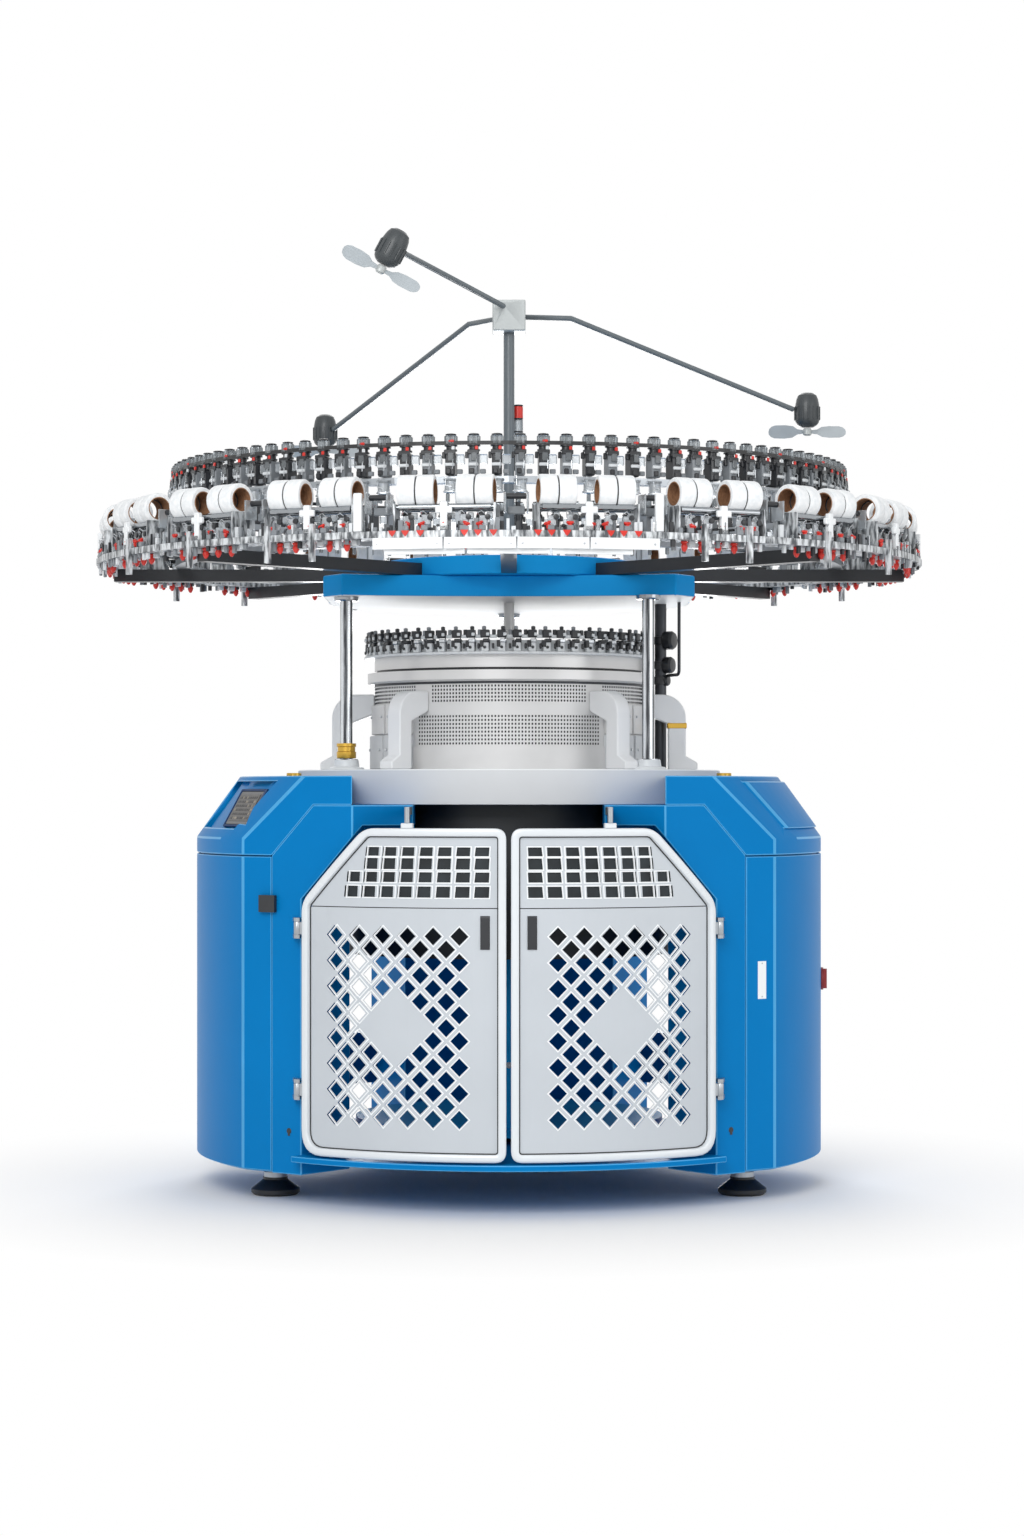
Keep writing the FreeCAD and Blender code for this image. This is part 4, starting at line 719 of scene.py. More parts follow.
def baked(item):
    """Put what an object's modifiers make in place of its mesh."""
    ready = item.evaluated_get(bpy.context.evaluated_depsgraph_get())
    made = bpy.data.meshes.new_from_object(ready)
    item.modifiers.clear()
    item.data = made


def softened(node, width, highlight_finish=None, wide=None, wide_edge=None):
    """A copy of a CAD node with rounded edges, shown in its place; the highlight finish, if
    given, paints the rounded edges lighter as a painted highlight.
    """
    mesh = frame["nodes"][node].data.copy()
    mesh.name = node + "_soft"
    wide = wide or width
    bevel_weights(mesh, width, wide, wide_edge)
    item = shown(node + "_soft", mesh)
    bevel = item.modifiers.new("rounded", "BEVEL")
    bevel.width = wide
    bevel.segments = 2
    bevel.limit_method = "WEIGHT"
    bevel.use_clamp_overlap = False
    mesh.materials.clear()
    for finish in [NODE_FINISH[node]] + ([highlight_finish] if highlight_finish else []):
        mesh.materials.append(MATERIALS[finish])
    # the faces of the rounded edges take the painted highlight finish
    bevel.material = 1 if highlight_finish else -1
    baked(item)
    # large flats keep their own direction, so that only the rounded edges shade off
    sharpened(item.data, 50.0)
    item.modifiers.new("flat_faces", "WEIGHTED_NORMAL").keep_sharp = True
    baked(item)
    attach(item, body_of(node))
    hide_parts(node)
    return item


def repaint(item, finish, chosen):
    """Give another finish to the faces that a test picks."""
    item.data.materials.append(MATERIALS[finish])
    last = len(item.data.materials) - 1
    for face in item.data.polygons:
        if chosen(face):
            face.material_index = last


def faces_down(face):
    return face.normal.z < -0.9


def in_head_box(face):
    """True for the box in the middle of the fans' arms."""
    x, y, z = face.center
    return max(abs(x), abs(y)) < HEAD_HALF and HEAD_LOW < z < HEAD_HIGH


# edge width, slot, the finish painted on the rounded edges as a highlight, and a second
# finish for the faces that a test picks
SOFT_NODES = {
    "leg_rear": (0.005, "blue_paint", "blue_edge"),
    "cap_rear": (0.005, "blue_paint", "blue_edge"),
    "base_plate": (0.003, "blue_paint", "blue_edge"),
    "top_plate": (0.006, "blue_paint", None, "grey_underside", faces_down),
    "ring_hub": (0.006, "blue_paint", None),
    # the bed's rounded edges are painted near white: painted highlight
    "bed_plate": (0.004, "machined_steel", "bright_edge"),
    "cam_brackets": (0.006, "silver_paint", None),
    "tie_beams": (0.004, "blue_inner", None),
    "ring_panels": (0.0015, "white_plastic", None),
    "fan_head": (0.005, "grey_column", None, "head_grey", in_head_box),
}


def soft_nodes():
    """Show the painted and cast nodes with rounded edges."""
    for node, (width, slot, highlight_finish, *second) in SOFT_NODES.items():
        item = softened(node, width, highlight_finish)
        if second:
            repaint(item, *second)
    # legs, caps and cabinet doors: their rounded edges carry a painted highlight, widest on
    # the upright crease
    for side in ("left", "right"):
        for part, width in (("leg_", 0.004), ("cap_", 0.004), ("cabinet_door_", 0.0025)):
            softened(part + side, width, "blue_edge", 0.007, upright_outside)


# ------------------------------------------------------------------ places found by sight
def landed(x, y, *nodes):
    """Where a point of the photograph's frame meets the named CAD nodes, and its normal."""
    ahead = Vector(((x - PHOTO[0] / 2) / FOCAL_PIXELS, 1.0,
                    (PHOTO[1] * (0.5 + SHIFT_UP) - y) / FOCAL_PIXELS)).normalized()
    found = []
    for node in nodes:
        mesh = frame["nodes"][node].data
        tree = BVHTree.FromPolygons([corner.co for corner in mesh.vertices],
                                    [tuple(face.vertices) for face in mesh.polygons])
        point, normal, _, reach = tree.ray_cast(CAMERA_AT, ahead)
        if point is not None:
            found.append((reach, point, normal))
    _, point, normal = min(found, key=lambda item: item[0])
    return point, normal if normal.dot(ahead) < 0 else -normal


def facing(point, normal):
    """Local x runs level along a surface, y goes into it and z up along it."""
    inward = -Vector(normal).normalized()
    up = (Vector((0, 0, 1)) - inward * inward.z).normalized()
    turn = Matrix((inward.cross(up), inward, up)).transposed().to_4x4()
    return Matrix.Translation(point) @ turn


# ------------------------------------------------------------------ the ring's units
def bobbin():
    """Half of a pair: white yarn on a brown core, its shoulders rounded by winding."""
    half = SPOOL_WIDTH / 4 - 0.0016
    bore, core, outer = 0.0335, 0.0362, SPOOL_RADIUS
    shoulder = [(core, 0.0005), (outer - 0.0060, 0.0), (outer - 0.0026, 0.0010),
                (outer - 0.0008, 0.0032), (outer, 0.0080)]
    yarn = lathe(mirrored(shoulder, half), 32, "X", closed=True)
    return yarn.join(lathe(mirrored([(bore, 0), (core, 0)], half + 0.0006), 24, "X",
                           mark="core", closed=True))


def spools():
    pair, unit = Shape(), Shape()
    pair.join(bobbin(), *[shift(side * SPOOL_WIDTH / 4, 0, 0) for side in (-1, 1)])
    # a dark disc between the two halves of each pair: painted shade in the gap between them
    pair.join(lathe(mirrored([(0.030, 0), (0.0465, 0)], 0.0012), 24, "X", mark=DARK,
                    closed=True))
    unit.join(pair, *[shift(side * SPOOL_OFFSET, 0, 0) for side in (-1, 1)])
    whole = Shape().join(unit, *ring_places(SPOOL_CIRCLE, ROD_HEIGHT + SPOOL_RISE))
    piece("yarn_spools", whole, "yarn", replaces=["elastane_spools"])


def rods():
    """Round driven rods with collars and end journals."""
    rod = lathe(mirrored([(0.004, 0), (0.004, 0.012), (ROD_RADIUS, 0.013)], ROD_REACH), 16,
                "X")
    unit = Shape().join(rod, *[shift(0, side * ROD_SPREAD, 0) for side in (-1, 1)])
    piece("driven_rods", Shape().join(unit, *ring_places(SPOOL_CIRCLE, ROD_HEIGHT)), "chrome",
          replaces=["roller_rods"])


def feeder(kind):
    """One positive feeder, seen from outside: housing, wheel, belt knob and sensor arms."""
    low, high = FEEDER_LOW, FEEDER_HIGH
    shape = blocks(
        (0.030, 0.050, high - low - 0.004, (0, 0.005, (low + high) / 2),
         DARK if kind % 2 else GREY, 0.004),
        (0.036, 0.006, 0.014, (0, -0.021, high - 0.004), DARK),
        (0.026, 0.014, 0.030, (0.029, 0.006, low + 0.052), CLEAR, 0.003),
        (0.010, 0.012, 0.020, (-0.021, -0.004, high - 0.012), DARK),
        (0.018, 0.010, 0.014, (0.028, -0.004, low + 0.014), GREY),
        (0.018, 0.006, 0.026, (0.003, -0.022, high - 0.018), SMOKE),
        (0.030, 0.008, 0.010, (0, -0.022, low + 0.034), PALE),
        (0.014, 0.010, 0.016, (-0.004, -0.024, low + 0.014), DARK))
    # the storage wheel hangs under the housing, with its finger cage
    shape.join(lathe([(0.008, -0.006), (0.021, -0.004), (0.023, 0.0), (0.019, 0.004),
                      (0.018, 0.030), (0.022, 0.034), (0.022, 0.038), (0.008, 0.040)], 14,
                     at=(0, -0.006, low - 0.046), mark=CLEAR))
    # the ribbed knob and the belt wheels on top
    outline = []
    for index, turn in enumerate(np.radians(around(KNOB_RIBS * 2))):
        reach = 0.0205 if index % 2 else 0.0168
        outline.append((reach * math.cos(turn), reach * math.sin(turn)))
    shape.join(prism(outline, high + 0.020, high + 0.048, SMOKE, 0.003))
    shape.join(lathe([(0.004, 0), (0.016, 0.001), (0.017, 0.004), (0.012, 0.006),
                      (0.004, 0.006)], 12, at=(0, 0, high + 0.048), mark=DARK))
    shape.join(lathe([(0.019, 0), (0.019, 0.005), (0.0145, 0.006), (0.0145, 0.014),
                      (0.020, 0.015), (0.020, 0.019)], 16, at=(0, 0, high), mark=DARK))
    if kind == 1:
        shape.join(box(0.016, 0.008, 0.008, (0.004, -0.016, high + 0.030), RED))
    shape.join(box(0.010, 0.006, 0.012, (0.010, -0.020, high + 0.008),
                   PALE if kind == 1 else RED))
    # yarn eyelets and the drop wire
    shape.join(tube([(0.010, -0.024, low + 0.050), (0.011, -0.030, low + 0.046),
                     (0.010, -0.030, low + 0.020)], 0.0014, 5, STEEL))
    shape.join(tube([(-0.012, -0.020, low), (-0.012, -0.028, low - 0.030),
                     (0.006, -0.029, low - 0.034)], 0.0013, 5, STEEL))
    return shape.join(box(0.010, 0.016, 0.026, (-0.006, -0.020, low - 0.066), SMOKE))


def feeders():
    angles = around(UNITS * FEEDERS_PER_UNIT, 180.0 / UNITS / FEEDERS_PER_UNIT)
    whole = Shape()
    for kind in range(4):
        whole.join(feeder(kind), *[place(FEEDER_CIRCLE, angle) for angle in angles[kind::4]])
    piece("yarn_feeders", whole, GREY,
          replaces=["feeder_housings", "feeder_pulleys"])


def outer_rail_dress():
    """On the outer rail: middle brackets, yarn guides in rows, clamps and eyelets."""
    top = RAIL_TOP
    bracket = blocks((0.022, 0.018, 0.086, (0, 0.012, top + 0.043), None, 0.003),
                     (0.050, 0.014, 0.020, (0, 0.011, top + 0.062), None, 0.003),
                     (0.016, 0.090, 0.014, (0, 0.066, ROD_HEIGHT - 0.020), DARK))
    whole = Shape().join(bracket, *ring_places(RAIL_OUTER - 0.002))
    for lift, offsets in ((0.0, (-0.116, 0.0, 0.116)), (0.004, (-0.058, 0.058))):
        guide = blocks((0.020, 0.014, 0.016, (0, 0.010, top + 0.008), GREY),
                       (0.026, 0.006, 0.030, (0.003, 0.019, top + 0.030 + lift), CLEAR))
        guide.join(lathe([(0.004, 0), (0.0085, 0.001), (0.009, 0.006), (0.004, 0.009)], 10,
                         "Y", (0.016, 0.009, top + 0.040), DARK))
        guide.join(tube([(-0.010, 0.012, top + 0.044), (-0.012, 0.006, top + 0.052 + lift),
                         (-0.002, 0.005, top + 0.058), (0.006, 0.012, top + 0.050)],
                        0.0014, 5, STEEL))
        guide.join(blocks((0.012, 0.030, 0.008, (-0.018, 0.034, top + 0.016), DARK),
                          (0.018, 0.012, 0.020, (0.020, 0.040, top + 0.046), CLEAR)))
        whole.join(guide, *ring_places(RAIL_OUTER - 0.002, offsets=offsets))
    # taller brackets stand between the units at the front
    whole.join(box(0.026, 0.016, 0.116, (0, 0, top + 0.058), edge=0.003),
               *[place(RAIL_OUTER - 0.012, angle) for angle in TALL_BRACKETS])
    piece("rail_yarn_guides", whole, WHITE)


def rail_clips():
    """Small clips, tensioners and covers, close together on the rail and under it."""
    clips = Shape()
    for index in range(CLIPS):
        angle = 360.0 * index / CLIPS + random.uniform(-0.2, 0.2)
        inset = random.choice((0.010, 0.026, 0.044))
        size = (random.uniform(0.006, 0.015), random.uniform(0.006, 0.012),
                random.uniform(0.010, 0.040))
        finish = random.choice((PALE, DARK, DARK, STEEL, GREY, GREY, CLEAR))
        clips.join(box(*size, (0, 0, RAIL_TOP + size[2] / 2), finish, 0.001),
                   place(RAIL_OUTER - inset, angle))
        if index % 2 and abs((angle + 180) % 360 - 180) > COVERED_ANGLE:
            tall = random.uniform(0.010, 0.030)
            clip = box(0.012, 0.010, tall, (0, 0, RAIL_LOW - tall / 2),
                       random.choice((PALE, DARK, GREY, GREY)), 0.001)
            clips.join(clip, place(RAIL_OUTER - random.choice((0.014, 0.030, 0.060)), angle))
    # a dark bar and its bearing plates close the gap between neighbouring pairs of spools
    gap = math.pi * SPOOL_CIRCLE / UNITS
    joint = lathe(mirrored([(0.004, 0), (0.009, 0.001)], 0.030), 12, "X",
                  (0, 0, ROD_HEIGHT + 0.034), DARK)
    joint.join(blocks(*[(0.006, 0.056, 0.060, (side * 0.034, 0, ROD_HEIGHT + 0.014), CLEAR)
                        for side in (-1, 1)],
                      (0.052, 0.012, 0.024, (0, 0.030, ROD_HEIGHT - 0.006), GREY)))
    clips.join(joint, *ring_places(SPOOL_CIRCLE, offsets=(gap,)))
    piece("rail_clips", clips, PALE)


def dropper(scale):
    """A red dropper with its pinched neck, hanging point down."""
    shape = lathe([(0.002, 0.0), (0.006, 0.003), (0.0105, 0.012), (0.011, 0.019),
                   (0.008, 0.026), (0.012, 0.030), (0.012, 0.034), (0.004, 0.036)], 10)
    shape.points = shape.points * scale
    return shape


def droppers():
    """The stop motions: a black box under the rail with red droppers beside it."""
    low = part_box("stop_detectors")[0].z
    unit = dropper(0.94)
    unit.join(blocks((0.014, 0.016, 0.010, (0, 0.004, RAIL_LOW - low - 0.005), DARK),
                     (0.022, 0.014, 0.016, (0.026, 0.004, RAIL_LOW - low - 0.008), PALE)))
    places = ring_places(RAIL_OUTER - 0.046, low, DROPPER_OFFSETS)
    piece("red_droppers", Shape().join(unit, *places), RED,
          replaces=["stop_detectors"])


def thread_brakes():
    """Red thread brakes on the rail's edge, and flat red tabs on its front flats."""
    brake = dropper(0.8).join(box(0.022, 0.008, 0.008, (0, 0.0, 0.026)))
    places = ring_places(RAIL_OUTER - 0.014, RAIL_TOP - 0.002, DROPPER_OFFSETS)
    whole = Shape().join(brake, *[at @ spin(22 * (number % 3 - 1), "Y")
                                  for number, at in enumerate(places)])
    tab = prism([(-0.012, 0.0), (0.012, 0.0), (0.007, -0.010), (0.0, -0.018),
                 (-0.007, -0.010)], 0.0, 0.0028)
    whole.join(tab, *[place(RAIL_OUTER - 0.0043, angle, RAIL_TOP + 0.001)
                      @ shift(offset, 0, 0) @ spin(90, "X")
                      for angle in FRONT_FLATS for offset in (-0.046, -0.006, 0.040)])
    piece("thread_brakes", whole, RED)


def front_panels():
    """White covers that carry the rail's front edge down, one to each of its flats."""
    cover = box(0.214, 0.003, 0.036, (0, 0, RAIL_LOW - 0.016), edge=0.001)
    for side in (-1, 1):
        cover.join(lathe([(0.0035, 0.0), (0.003, -0.0012), (0.001, -0.0016)], 10, "Y",
                         (side * 0.092, -0.0015, RAIL_LOW - 0.018), STEEL))
    whole = Shape().join(cover, *[place(RAIL_OUTER - 0.0064, angle) for angle in FRONT_FLATS])
    piece("front_panels", whole, WHITE)


# ------------------------------------------------------------------ drum and dial
def drum_studs():
    """Rows of dark needle-selection studs in two bands round the drum."""
    stud = box(0.0054, 0.0022, 0.0068, (0, 0.0002, 0), edge=0.0006)
    places = []
    for angle in around(STUD_COLUMNS):
        near = min(abs((angle - edge + 180) % 360 - 180) for edge in BRACKET_ANGLES)
        heights = UPPER_STUDS if near >= STUD_CLEARANCE else []
        # the lower band runs across the front and across the back only
        if abs((angle + 180) % 360 - 180) < 41.5 or abs(angle - 180) < 31:
            heights = heights + LOWER_STUDS
        places += [place(DRUM_RADIUS, angle, height) for height in heights]
    piece("drum_studs", Shape().join(stud, *places), "stud_grey")


def drum_covers():
    """Cam section covers between the side brackets, in stepped plates with screws."""
    shape = Shape()
    screw = lathe([(0.0045, 0), (0.0045, 0.004), (0.0035, 0.005)], 8, "Y", mark=STEEL)
    for start, end in COVER_SPANS:
        for proud, low, high, mark in ((0.018, BED_TOP + 0.004, 1.498, None),
                                       (0.012, 1.502, 1.600, "drum")):
            shape.join(curved_plate(DRUM_RADIUS - 0.001, DRUM_RADIUS + proud, start, end, low,
                                    high, mark))
        shape.join(screw, *[place(DRUM_RADIUS + proud, start + (end - start) * share, height)
                            for share in (0.12, 0.88)
                            for proud, height in ((0.016, 1.560), (0.022, 1.450))])
    # the upper, dark band fills the gap between the rim and the dial cam: painted shade of
    # the hollow behind it
    for inner, outer, low, high, mark in ((0.430, 0.4475, 1.7060, 1.7190, DARK),
                                          (0.440, 0.4572, 1.6635, 1.6705, "dark_steel")):
        shape.join(lathe([(inner, low), (outer, low), (outer, high), (inner, high)], 96,
                         mark=mark, closed=True))
    piece("drum_covers", shape, "bed")


def carrier_finger(kind):
    """One yarn carrier: a pale foot, a dark clamp, a nozzle and its wire."""
    shape = blocks((0.024, 0.016, 0.030, (0, -0.001, 0.015)),
                   (0.012, 0.018, 0.022, (-0.010, -0.003, 0.026), DARK),
                   (0.020, 0.022, 0.012, (0.004, -0.002, 0.036), STEEL if kind else DARK),
                   (0.030, 0.020, 0.026, (0, -0.001, 0.058), DARK, 0.003),
                   (0.010, 0.006, 0.010, (0.010, -0.012, 0.056), None, 0.0015))
    shape.join(lathe([(0.003, 0), (0.007, 0.001), (0.007, 0.010), (0.003, 0.012)], 8,
                     at=(0.004 if kind else -0.004, 0, 0.071), mark=DARK if kind else GREY))
    shape.join(lathe([(0.002, -0.004), (0.005, -0.003), (0.005, 0.0), (0.002, 0.001)], 8, "Y",
                     (0, -0.011, 0.014), DARK))
    shape.join(tube([(0.008, 0.0, 0.060), (0.013, 0.004, 0.034), (0.011, 0.006, 0.004)],
                    0.0016, 5, DARK))
    return shape.join(blocks(
        (0.024, 0.008, 0.012, (0.026, 0.003, 0.050)),
        (0.012, 0.010, 0.020, (0.028, 0.004, 0.062), GREY if kind else DARK),
        (0.008, 0.008, 0.018, (0.027, -0.006, 0.018), DARK)))


def carriers():
    """The ring of yarn carriers over the drum, with the two rings that hold them."""
    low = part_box("yarn_guides")[0].z
    ring = lathe([(0.447, low), (0.490, low), (0.4915, low + 0.002), (0.4915, low + 0.006),
                  (0.490, low + 0.008), (0.447, low + 0.008)], 96, closed=True)
    ring.join(lathe([(0.462, low + 0.008), (0.466, low + 0.008), (0.466, low + 0.046),
                     (0.462, low + 0.046)], 96, closed=True))
    for kind in range(2):
        places = [place(CARRIER_CIRCLE, angle + random.uniform(-0.35, 0.35), low + 0.008)
                  for angle in around(CARRIERS, 3.0)[kind::2]]
        ring.join(carrier_finger(kind), *places)
    piece("yarn_carriers", ring, PALE, replaces=["yarn_guides"])


# ------------------------------------------------------------------ guard doors
def rolled(loops, side, closed=False):
    """Loops of (run, height) points, each at its radius, joined on a door's curve."""
    points = [polar(radius, side * point[0] / RUN_OF_DEGREE, point[1])
              for loop, radius in loops for point in loop]
    return Shape().add(points, skin(len(loops), len(loops[0][0]), closed, side < 0))


def turned_in(points, distance):
    """A closed convex outline moved inwards by a distance."""
    points = [Vector(point) for point in points]
    nexts = points[1:] + points[:1]
    area = sum(here.x * after.y - after.x * here.y for here, after in zip(points, nexts))
    result = []
    for before, here, after in zip(points[-1:] + points, points, nexts):
        normals = [Vector((-run.y, run.x)) * math.copysign(1, area)
                   for run in ((here - before).normalized(), (after - here).normalized())]
        bisector = sum(normals, Vector((0, 0))).normalized()
        result.append(here + bisector * (distance / bisector.dot(normals[0])))
    return result


def door_loop(inset, soft, foot_soft):
    """The door's outline moved in, rounded, as points of run in metres and height."""
    corners = turned_in([(degrees * RUN_OF_DEGREE, height)
                         for degrees, height in DOOR_CORNERS], inset)
    points = []
    for index, radius in enumerate((soft, foot_soft, soft, soft, soft)):
        arc = [corners[index - 1], corners[index], corners[(index + 1) % len(corners)]]
        points += rounded_path(arc, radius, 6)[1:-1]
    return points


def hole_outlines():
    """The lattice's and the vents' outlines, in metres of run and height."""
    outlines = []
    for column, row in product([step / 2 for step in range(11)],
                               [step / 2 for step in range(15)]):
        if (column + row) % 1 or abs(column - 2.5) + abs(row - 3.5) <= 1.01:
            continue
        x = (DIAMOND_FIRST[0] + column * DIAMOND_TURN) * RUN_OF_DEGREE
        z = DIAMOND_FIRST[1] + row * DIAMOND_PITCH
        outlines.append([(x - DIAMOND_HALF, z), (x, z - DIAMOND_HALF),
                         (x + DIAMOND_HALF, z), (x, z + DIAMOND_HALF)])
    for (low, high), (count, end) in zip(WINDOW_ROWS, WINDOW_ENDS):
        step = (end - WINDOW_FIRST) / count
        for index in range(count):
            near = WINDOW_FIRST + step * index + WINDOW_WEB / 2
            far = near + step - WINDOW_WEB
            # each window leans in a little at its top
            outlines.append([(degrees * RUN_OF_DEGREE, height) for degrees, height in (
                (near, low), (far, low), (far - 0.2, high), (near - 0.1, high))])
    return outlines


def hole_rims(side, radius):
    """A turned-out rim round every hole of a door, painted pale as a highlight."""
    shape = Shape()
    for outline in hole_outlines():
        inner, outer = turned_in(outline, 0.0004), turned_in(outline, -0.0032)
        shape.join(rolled([(inner, radius - 0.0045), (inner, radius + 0.0010),
                           (outer, radius + 0.0010), (outer, radius - 0.0002)], side))
    return shape


def finer(loops, step=0.02):
    """Matching closed loops, their long runs divided so that they can follow a curve."""
    made = [[] for _ in loops]
    for index in range(len(loops[0])):
        after = (index + 1) % len(loops[0])
        parts = max(1, math.ceil((loops[0][after] - loops[0][index]).length / step))
        for part in range(parts):
            for loop, result in zip(loops, made):
                result.append(loop[index].lerp(loop[after], part / parts))
    return made


def rolled_frame(side):
    """The door's tube frame: a rounded section run round the outline on the door's curve."""
    section = [(0.0, 0.0168), (0.0, 0.0062), (0.0012, 0.0028), (0.0040, 0.0008),
               (0.0090, 0.0), (0.0160, 0.0), (0.0210, 0.0008), (0.0238, 0.0028),
               (0.0250, 0.0062), (0.0250, 0.0168)]
    loops = finer([door_loop(inset, 0.036 - inset, 0.080 - inset) for inset, _ in section])
    radii = [DOOR_RADIUS - 0.0002 - drop for _, drop in section]
    shape = rolled(list(zip(loops, radii)), side, closed=True)
    # the knuckles' straps and the keeper of the catch on top
    pin = polar(DOOR_RADIUS, side * HINGE_ANGLE)
    run = polar(DOOR_RADIUS - 0.0085, side * 38.6) - pin
    along = Matrix.Rotation(math.atan2(run.y, run.x), 4, "Z")
    for level in HINGE_LEVELS:
        at = Matrix.Translation(pin + Vector((0, 0, level)))
        shape.join(lathe(mirrored([(0.0052, 0), (0.0102, 0), (0.0108, 0.001)], 0.0195),
                         mark="zinc", closed=True), at)
        shape.join(box(run.length - 0.006, 0.0096, 0.039, (run.length / 2 + 0.004, 0, 0),
                       "zinc", 0.001), at @ along)
    return shape.join(box(0.0376, 0.0166, 0.016, (0, 0, 0.0078)),
                      place(DOOR_RADIUS - 0.0085, side * 17.66, 1.198))


def painted_door_shade(side, radius):
    """A dark strip where the sheet meets the tube frame: a painted shadow line along the
    frame's inner edge, in the rubber finish.
    """
    outer, inner = finer([door_loop(DOOR_FRAME_WIDTH - 0.0010, 0.012, 0.056),
                          door_loop(DOOR_FRAME_WIDTH + 0.0036, 0.008, 0.052)])
    return rolled([(outer, radius), (outer, radius + 0.0014), (inner, radius + 0.0014),
                   (inner, radius)], side)


def door_trim():
    """Dark strips of painted shade along the frame and in the sheet's joint, hole rims
    painted pale as highlights, the tube frame and a dark mat of painted shade behind the
    vents, on each door.
    """
    for name, side in (("right", 1), ("left", -1)):
        panel = frame["nodes"]["door_panel_" + name].data
        radius = max(math.hypot(corner.co.x, corner.co.y) for corner in panel.vertices)
        body = body_of("door_panel_" + name)

        def plate(back, front, start, end, low, high):
            start, end = sorted((side * start, side * end))
            return curved_plate(radius - back, radius - front, start, end, low, high)

        piece("hole_rims_" + name, hole_rims(side, radius), "bright_edge",
              body)
        piece("tube_frame_" + name, rolled_frame(side), "pale_silver",
              body_of("door_frame_" + name), ["door_frame_" + name])
        # a dark strip behind the sheet's joint at 0.952 m: painted shade seen through the gap
        frame_shade = painted_door_shade(side, radius).join(plate(0.0075, 0.0048, 2.0, 37.3, 0.946, 0.958))
        piece("painted_door_shade_" + name, frame_shade, "rubber", body)
        # a dark mat behind the vent rows: painted shade of the inside seen through them
        mat = plate(0.0085, 0.0052, 2.2, 31.2, 0.978, 1.112)
        mat.join(plate(0.0085, 0.0052, 2.2, 27.0, 1.110, 1.150))
        piece("vent_painted_shade_" + name, mat, "painted_vent_shade", body)


# ------------------------------------------------------------------ fans and lamp
def middle_of(points):
    points = list(points)
    return sum(points, Vector()) / len(points)


def islands(mesh):
    """The separate closed shapes of a mesh, as lists of points."""
    shape = bmesh.new()
    shape.from_mesh(mesh)
    bmesh.ops.remove_doubles(shape, verts=shape.verts, dist=WELD)
    left = set(shape.verts)
    groups = []
    while left:
        queue, group = [left.pop()], []
        while queue:
            corner = queue.pop()
            group.append(corner.co.copy())
            for edge in corner.link_edges:
                other = edge.other_vert(corner)
                if other in left:
                    left.remove(other)
                    queue.append(other)
        groups.append(group)
    shape.free()
    return groups


def propeller(reach=0.134, pitch=56.0):
    """Two round-ended clear blades, each turned to its pitch, on a grey spinner."""
    half = [(0.010, 0.006), (0.034, 0.010), (0.050, 0.022), (0.076, 0.026), (0.112, 0.025),
            (reach - 0.010, 0.020), (reach - 0.002, 0.011), (reach, 0.0)]
    outline = half + [(x, -y) for x, y in reversed(half[:-1])]
    blade = prism(outline, -0.0012, 0.0012, edge=0.0008)
    shape = Shape().join(blade, *[spin(angle) @ spin(pitch, "X") for angle in (0, 180)])
    return shape.join(lathe([(0.002, -0.012), (0.013, -0.0115), (0.015, -0.008),
                             (0.015, 0.009), (0.011, 0.013), (0.002, 0.014)], 18,
                            mark="head_grey"))


def fans():
    """Rounded motors with cooling ribs, and a spinner on each propeller."""
    motor = lathe([(0.004, 0.0), (0.020, 0.002), (0.032, 0.010), (0.038, 0.024),
                   (0.041, 0.040), (0.0425, 0.052), (0.0425, 0.094), (0.040, 0.104),
                   (0.034, 0.112), (0.022, 0.1195), (0.010, 0.1200)], 28)
    motor.join(box(0.004, 0.006, 0.046, (0, -0.0425, 0.072), edge=0.001),
               *[spin(angle) for angle in around(MOTOR_RIBS)])
    groups = islands(frame["nodes"]["fan_motors"].data)
    motors = Shape()
    for index, degrees in FAN_TILTS.items():
        node = "fan_blades_%d" % index
        hub = middle_of(corner.co for corner in frame["nodes"][node].data.vertices)
        tilt = math.radians(degrees)
        axis = Vector((-math.sin(tilt), 0, -math.cos(tilt)))
        near = min(groups, key=lambda group: (middle_of(group) - hub).length)
        start = hub + axis * (min(point.dot(axis) for point in near) - hub.dot(axis))
        motors.join(motor, Matrix.Translation(start)
                    @ axis.to_track_quat("Z", "Y").to_matrix().to_4x4())
        across = Vector((0, 1, 0)).cross(axis).normalized()
        level = Matrix((across, axis.cross(across), axis)).transposed().to_4x4()
        middle = start + axis * PROPELLER_DROP
        fan = Shape().join(propeller(), Matrix.Translation(middle) @ level)
        piece("propeller_%d" % index, fan, "blade", body_of(node), [node])
    piece("fan_motor_housings", motors, "motor", body_of("fan_motors"),
          ["fan_motors"])


def signal_lamp():
    """The signal tower: a foot and four lamp lenses, the red one on top."""
    low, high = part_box("signal_tower")
    at = (*((low + high) / 2).xy, 0)
    shape = lathe([(0.009, low.z), (0.009, LAMP_FOOT), (0.016, LAMP_FOOT),
                   (0.017, LAMP_FOOT + 0.003), (0.017, LAMP_FOOT + 0.040),
                   (0.015, LAMP_FOOT + 0.042)], at=at)
    level = LAMP_FOOT + 0.042
    for lens in (SMOKE, CLEAR, SMOKE, RED):
        top = level + LENS_HEIGHT
        shape.join(lathe([(0.0135, level), (0.0168, level + 0.002), (0.0168, top - 0.004),
                          (0.0135, top - 0.002)], at=at, mark=lens))
        level = top
        cap = min(0.003, high.z - level)
        shape.join(lathe([(0.0165, level - 0.002), (0.017, level - 0.001),
                          (0.017, level + cap - 0.001), (0.0150, level + cap)], at=at))
    piece("signal_lamp", shape, DARK, replaces=["signal_tower"])


